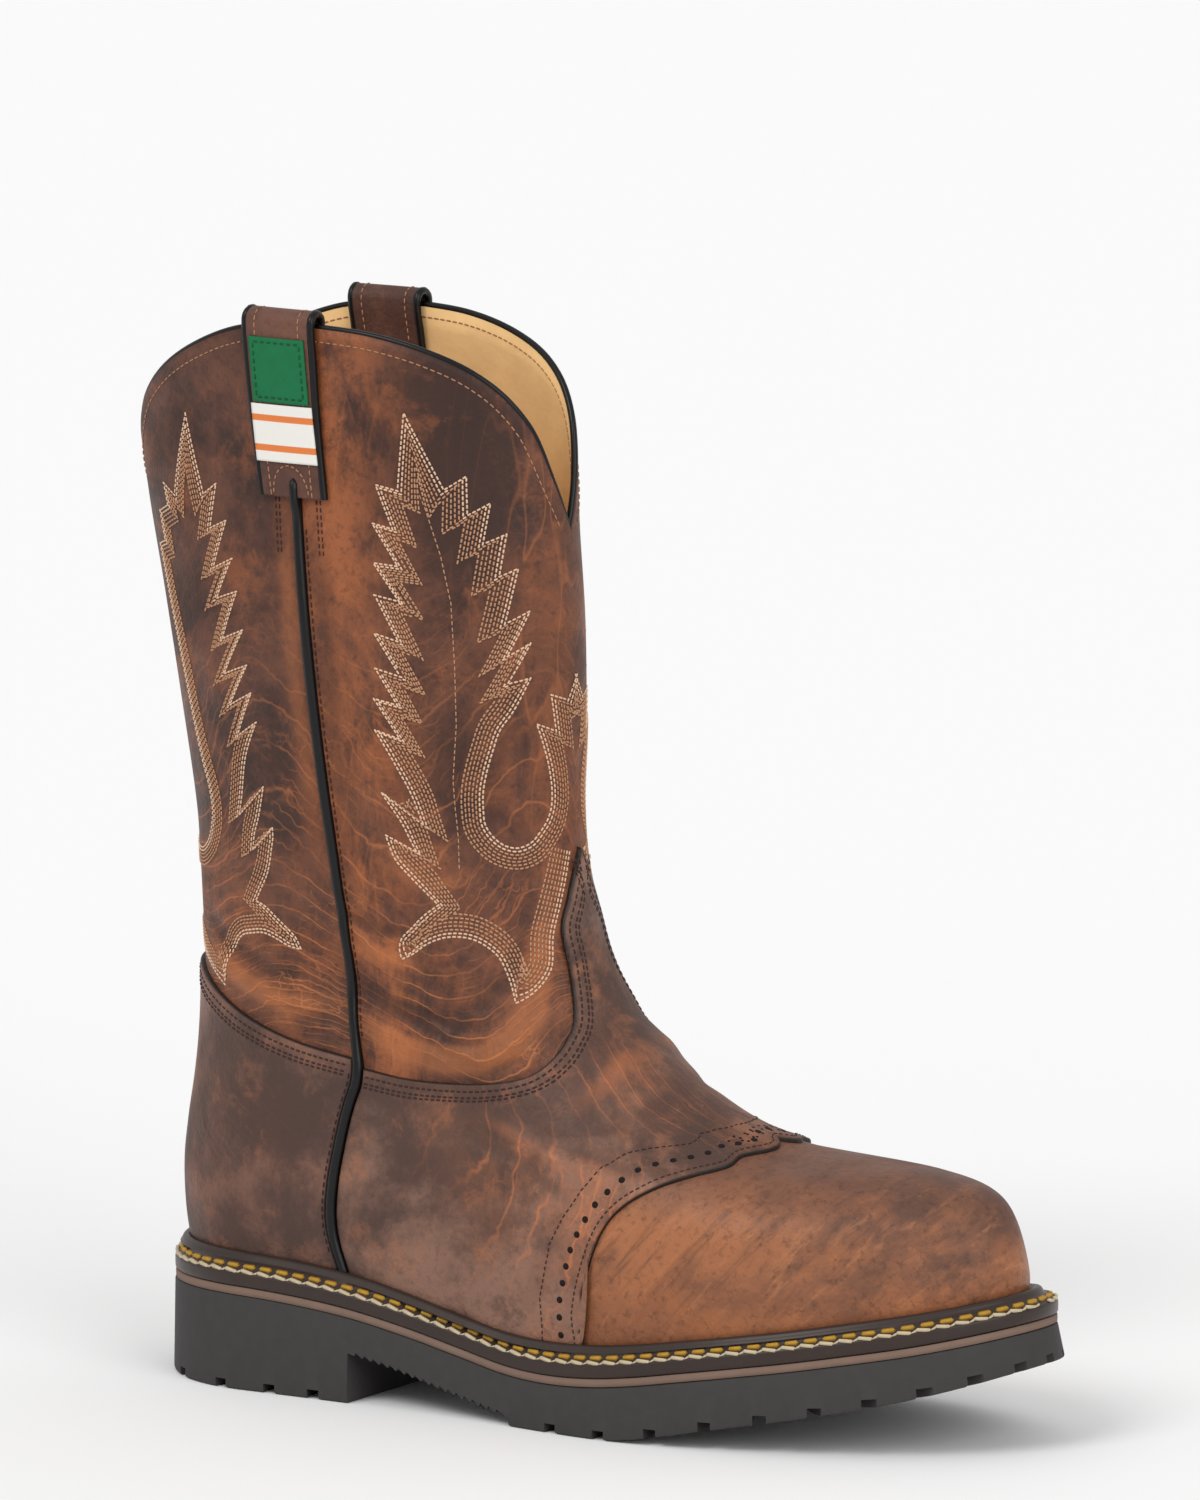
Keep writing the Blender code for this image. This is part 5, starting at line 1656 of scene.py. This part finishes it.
def sew_straps():
    """Tan rows along both straps, the arch at each foot and the short dark double rows below it."""
    rows = StitchWork("strap_stitches", MATERIALS["tan_thread"])
    below = StitchWork("strap_foot_stitches", MATERIALS["dark_thread"])
    path, square = strap_line(STRAP_ROWS)
    top = STRAP_THICK + 0.06
    inset = STRAP_HALF_WIDTH - STRAP_SEAM_INSET
    half_width, foot, rise = STRAP_ARCH
    angles = np.linspace(0, math.pi, 40)
    for side in (-1, 1):
        left, right = strap_points(side, path, 1.0, [-1.0, 1.0])
        for sign in (-1, 1):
            line = strap_points(side, lifted(path, square, top), inset, [sign])[0]
            index = evenly(line[:85], 2.4)
            centres = sample(line, index)
            along = sample(line, index + 0.2) - centres
            up = unit(np.cross(along, sample(right - left, index)))
            lift = centres - sample(strap_points(side, path, inset, [sign])[0], index)
            up = up * np.sign((up * lift).sum(1))[:, None]
            rows.add(centres, along, up, 1.95, 0.6, 0.3)
        arch = []
        for angle in angles:
            height = foot + rise * math.sin(angle)
            over = half_width * math.cos(angle)
            arch.append(strap_points(side, np.array([[0.4 + top, height, 1.0]]), 1.0, [over])[0, 0])
        arch = np.array(arch)
        index = evenly(arch, 2.0)
        turn = STRAP_TURN[0] if side < 0 else 1 - STRAP_TURN[0]
        normal = form_normal(np.full(len(index), turn), np.full(len(index), 13.2))
        rows.add(sample(arch, index), heading(arch, index, 0.3), normal, 1.6, 0.65, 0.35)
        for distance in (-8.6, -7.2, 7.2, 8.6):
            level = np.linspace(12.62, 13.28, 30)
            turn = seam_turn(level) - distance / form_speed(0.252, level)
            below.along_skin(on_side(turn, side), level, THREAD_LIFT, *FOOT_STITCH)
    return [rows.make(), below.make()]


# Pitch of the welt's stitches, and its two rows: distance from the edge, height
WELT_STITCH_PITCH = 6.3
GOLD_ROW = (2.5, 6.1)
CHAIN_ROW = (0.75, 4.75)


def sew_welt():
    """Gold stitches on the welt's slope and the pale chain of loops at its outer side."""
    gold = StitchWork("welt_stitches", MATERIALS["gold_thread"])
    chain = StitchWork("welt_chain", MATERIALS["cream_thread"])
    turn = np.arange(2401) / 2400
    inward = unit(welt_point(turn, "edge", 4.0, 0.0) - welt_point(turn, "edge", 0.0, 0.0))
    line = welt_point(turn, "edge", *GOLD_ROW)
    index = evenly(line, WELT_STITCH_PITCH)
    tilted = np.array([0.0, 0.0, 0.55]) - 0.83 * sample(inward, index)
    gold.add(sample(line, index), heading(line, index, 2), tilted, 5.3, 2.5, 1.0)
    line = welt_point(turn, "edge", *CHAIN_ROW)
    index = evenly(line, WELT_STITCH_PITCH)
    index = 0.5 * (index[1:] + index[:-1])
    centres = sample(line, index)
    along = unit(heading(line, index, 2))
    tilted = np.array([0.0, 0.0, 0.6]) - 0.8 * sample(inward, index)
    lift = np.array([0.0, 0.0, 1.0])
    chain.add(centres, along + lift * 0.2, tilted, 5.9, 1.7, 1.0)
    chain.add(centres - along * 3.1 - lift * 0.2, along - lift * 0.5, tilted, 2.6, 0.9, 0.6)
    return [gold.make(), chain.make()]


PATCH_SEAM_INSET = 1.6


def sew_labels():
    """Stitches along the border of the green patch."""
    work = StitchWork("patch_stitches", MATERIALS["green_thread"])
    low, high = PATCH[0] + PATCH_SEAM_INSET, PATCH[1] - PATCH_SEAM_INSET
    half = PATCH[2] - PATCH_SEAM_INSET
    above = STRAP_THICK + LABEL_GAP + LABEL_THICK + 0.1
    base = np.interp([low, high], STRAP_PATH[:6, 1], STRAP_PATH[:6, 0]) + above
    corners = [(-half, low), (half, low), (half, high), (-half, high), (-half, low)]
    for (x0, z0), (x1, z1) in zip(corners[:-1], corners[1:]):
        count = int(max(abs(x1 - x0), abs(z1 - z0)) / 2.3)
        centres = []
        for share in (np.arange(count) + 0.5) / count:
            x, z = x0 + (x1 - x0) * share, z0 + (z1 - z0) * share
            out = np.interp(z, [low, high], base)
            centres.append(strap_points(-1, np.array([[out, z, 1.0]]), x, [1.0])[0, 0])
        centres = np.array(centres)
        along = np.broadcast_to(centres[-1] - centres[0], centres.shape)
        normal = form_normal(np.full(count, 0.257), np.full(count, 14.2))
        work.add(centres, along, normal, 1.8, 0.7, 0.35)
    return work.make()


# The photo's view: angles in degrees, lens and distance, and the point that it aims at, in millimetres
# to the right, up and back in the picture
AZIMUTH = 32
ELEVATION = 9.35
LENS = 446.4
DISTANCE = 6.0
AIM = (131.9, 197.6, 106.0)


def camera():
    """The photo's view: from the outer side and a little above."""
    azimuth = math.radians(AZIMUTH)
    elevation = math.radians(ELEVATION)
    right = Vector((math.cos(azimuth), math.sin(azimuth), 0))
    back = Vector((math.sin(azimuth) * math.cos(elevation), -math.cos(azimuth) * math.cos(elevation),
                   math.sin(elevation)))
    up = back.cross(right)
    aim = (right * AIM[0] + up * AIM[1] + back * AIM[2] - Vector((HEEL_CENTRE, 0, 0))) * MM
    data = bpy.data.cameras.new("camera")
    data.lens = LENS
    data.sensor_width = 36.0
    data.sensor_fit = "AUTO"
    data.clip_end = 50.0
    item = bpy.data.objects.new("camera", data)
    turn = Matrix((right, up, back)).transposed()
    item.matrix_world = Matrix.Translation(aim + back * DISTANCE) @ turn.to_4x4()
    bpy.context.scene.collection.objects.link(item)
    bpy.context.scene.camera = item


def sun(name, direction, strength, spread):
    """Soft even light from a direction; the spread is its width in degrees."""
    data = bpy.data.lights.new(name, "SUN")
    data.energy = strength
    data.angle = math.radians(spread)
    item = bpy.data.objects.new(name, data)
    item.rotation_euler = Vector(direction).to_track_quat("Z", "Y").to_euler()
    bpy.context.scene.collection.objects.link(item)


# Floor: from its middle to each side, and how far it lies below the sole
FLOOR_REACH = 20e3
FLOOR_DROP = 0.2


def studio():
    """White surroundings, a wide pale floor just below the sole, and two soft lights."""
    world = bpy.data.worlds.new("studio")
    world.use_nodes = True
    background = world.node_tree.nodes["Background"]
    background.inputs["Color"].default_value = (1, 1, 1, 1)
    background.inputs["Strength"].default_value = 0.66
    bpy.context.scene.world = world
    bpy.context.scene.view_settings.view_transform = "Standard"
    floor_look = plain_look("floor", (0.96, 0.96, 0.96, 1.0), 0.9, 5.0, 0.0, 0.0, 0.0)
    corners = ((-1, -1), (1, -1), (1, 1), (-1, 1))
    points = [(FLOOR_REACH * x, FLOOR_REACH * y, -FLOOR_DROP) for x, y in corners]
    floor = make_mesh("floor", points, [(0, 1, 2, 3)], floor_look, smooth=False, turn_out=False)
    sun("key", (-0.2, -0.8, 0.9), 0.95, 26.0)
    sun("fill", (0.95, -0.45, 0.55), 0.85, 40.0)


def build():
    pieces = [make_shell(), make_lining()]
    rows = panel_rows(90)
    vamp = two_sided(VAMP_BOTTOM, VAMP_TOP, 150, rows, 0.3, -2.0, True)
    pieces.append(make_panel("vamp_look", *vamp, MATERIALS["vamp"], "vamp", "vamp_leather"))
    counter = two_sided(COUNTER_BOTTOM, COUNTER_TOP, 110, rows, 0.5, 2.0, False)
    pieces.append(make_panel("counter_look", *counter, MATERIALS["counter"], "counter", "counter_leather"))
    sides = ((-1, "outer", "lateral"), (1, "inner", "medial"))
    pieces += [make_piping("side_piping_" + word, side, "side_piping_" + end) for side, word, end in sides]
    pieces += [make_strap("strap_" + word, side, "pull_strap_" + end) for side, word, end in sides]
    pieces += [make_strap_edges("strap_edges_" + word, side) for side, word, end in sides]
    pieces.append(make_label("green_patch", PATCH, MATERIALS["green"], "strap_patch"))
    pieces.append(make_label("white_tag", TAG, MATERIALS["white"], "strap_tag"))
    pieces += [make_binding(), make_outsole(), make_midsole(), make_welt(), make_insole()]
    pieces += [sew_panels(vamp, counter), punch_band(), sew_collar(), sew_labels()]
    pieces += sew_straps() + sew_welt()
    for side, word, end in sides:
        pieces += sew_leaves(side, word)
    pieces += [sew_lining_leaves(side, word) for side, word, end in sides]
    for piece in pieces:
        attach(piece, "root")


build()
camera()
studio()
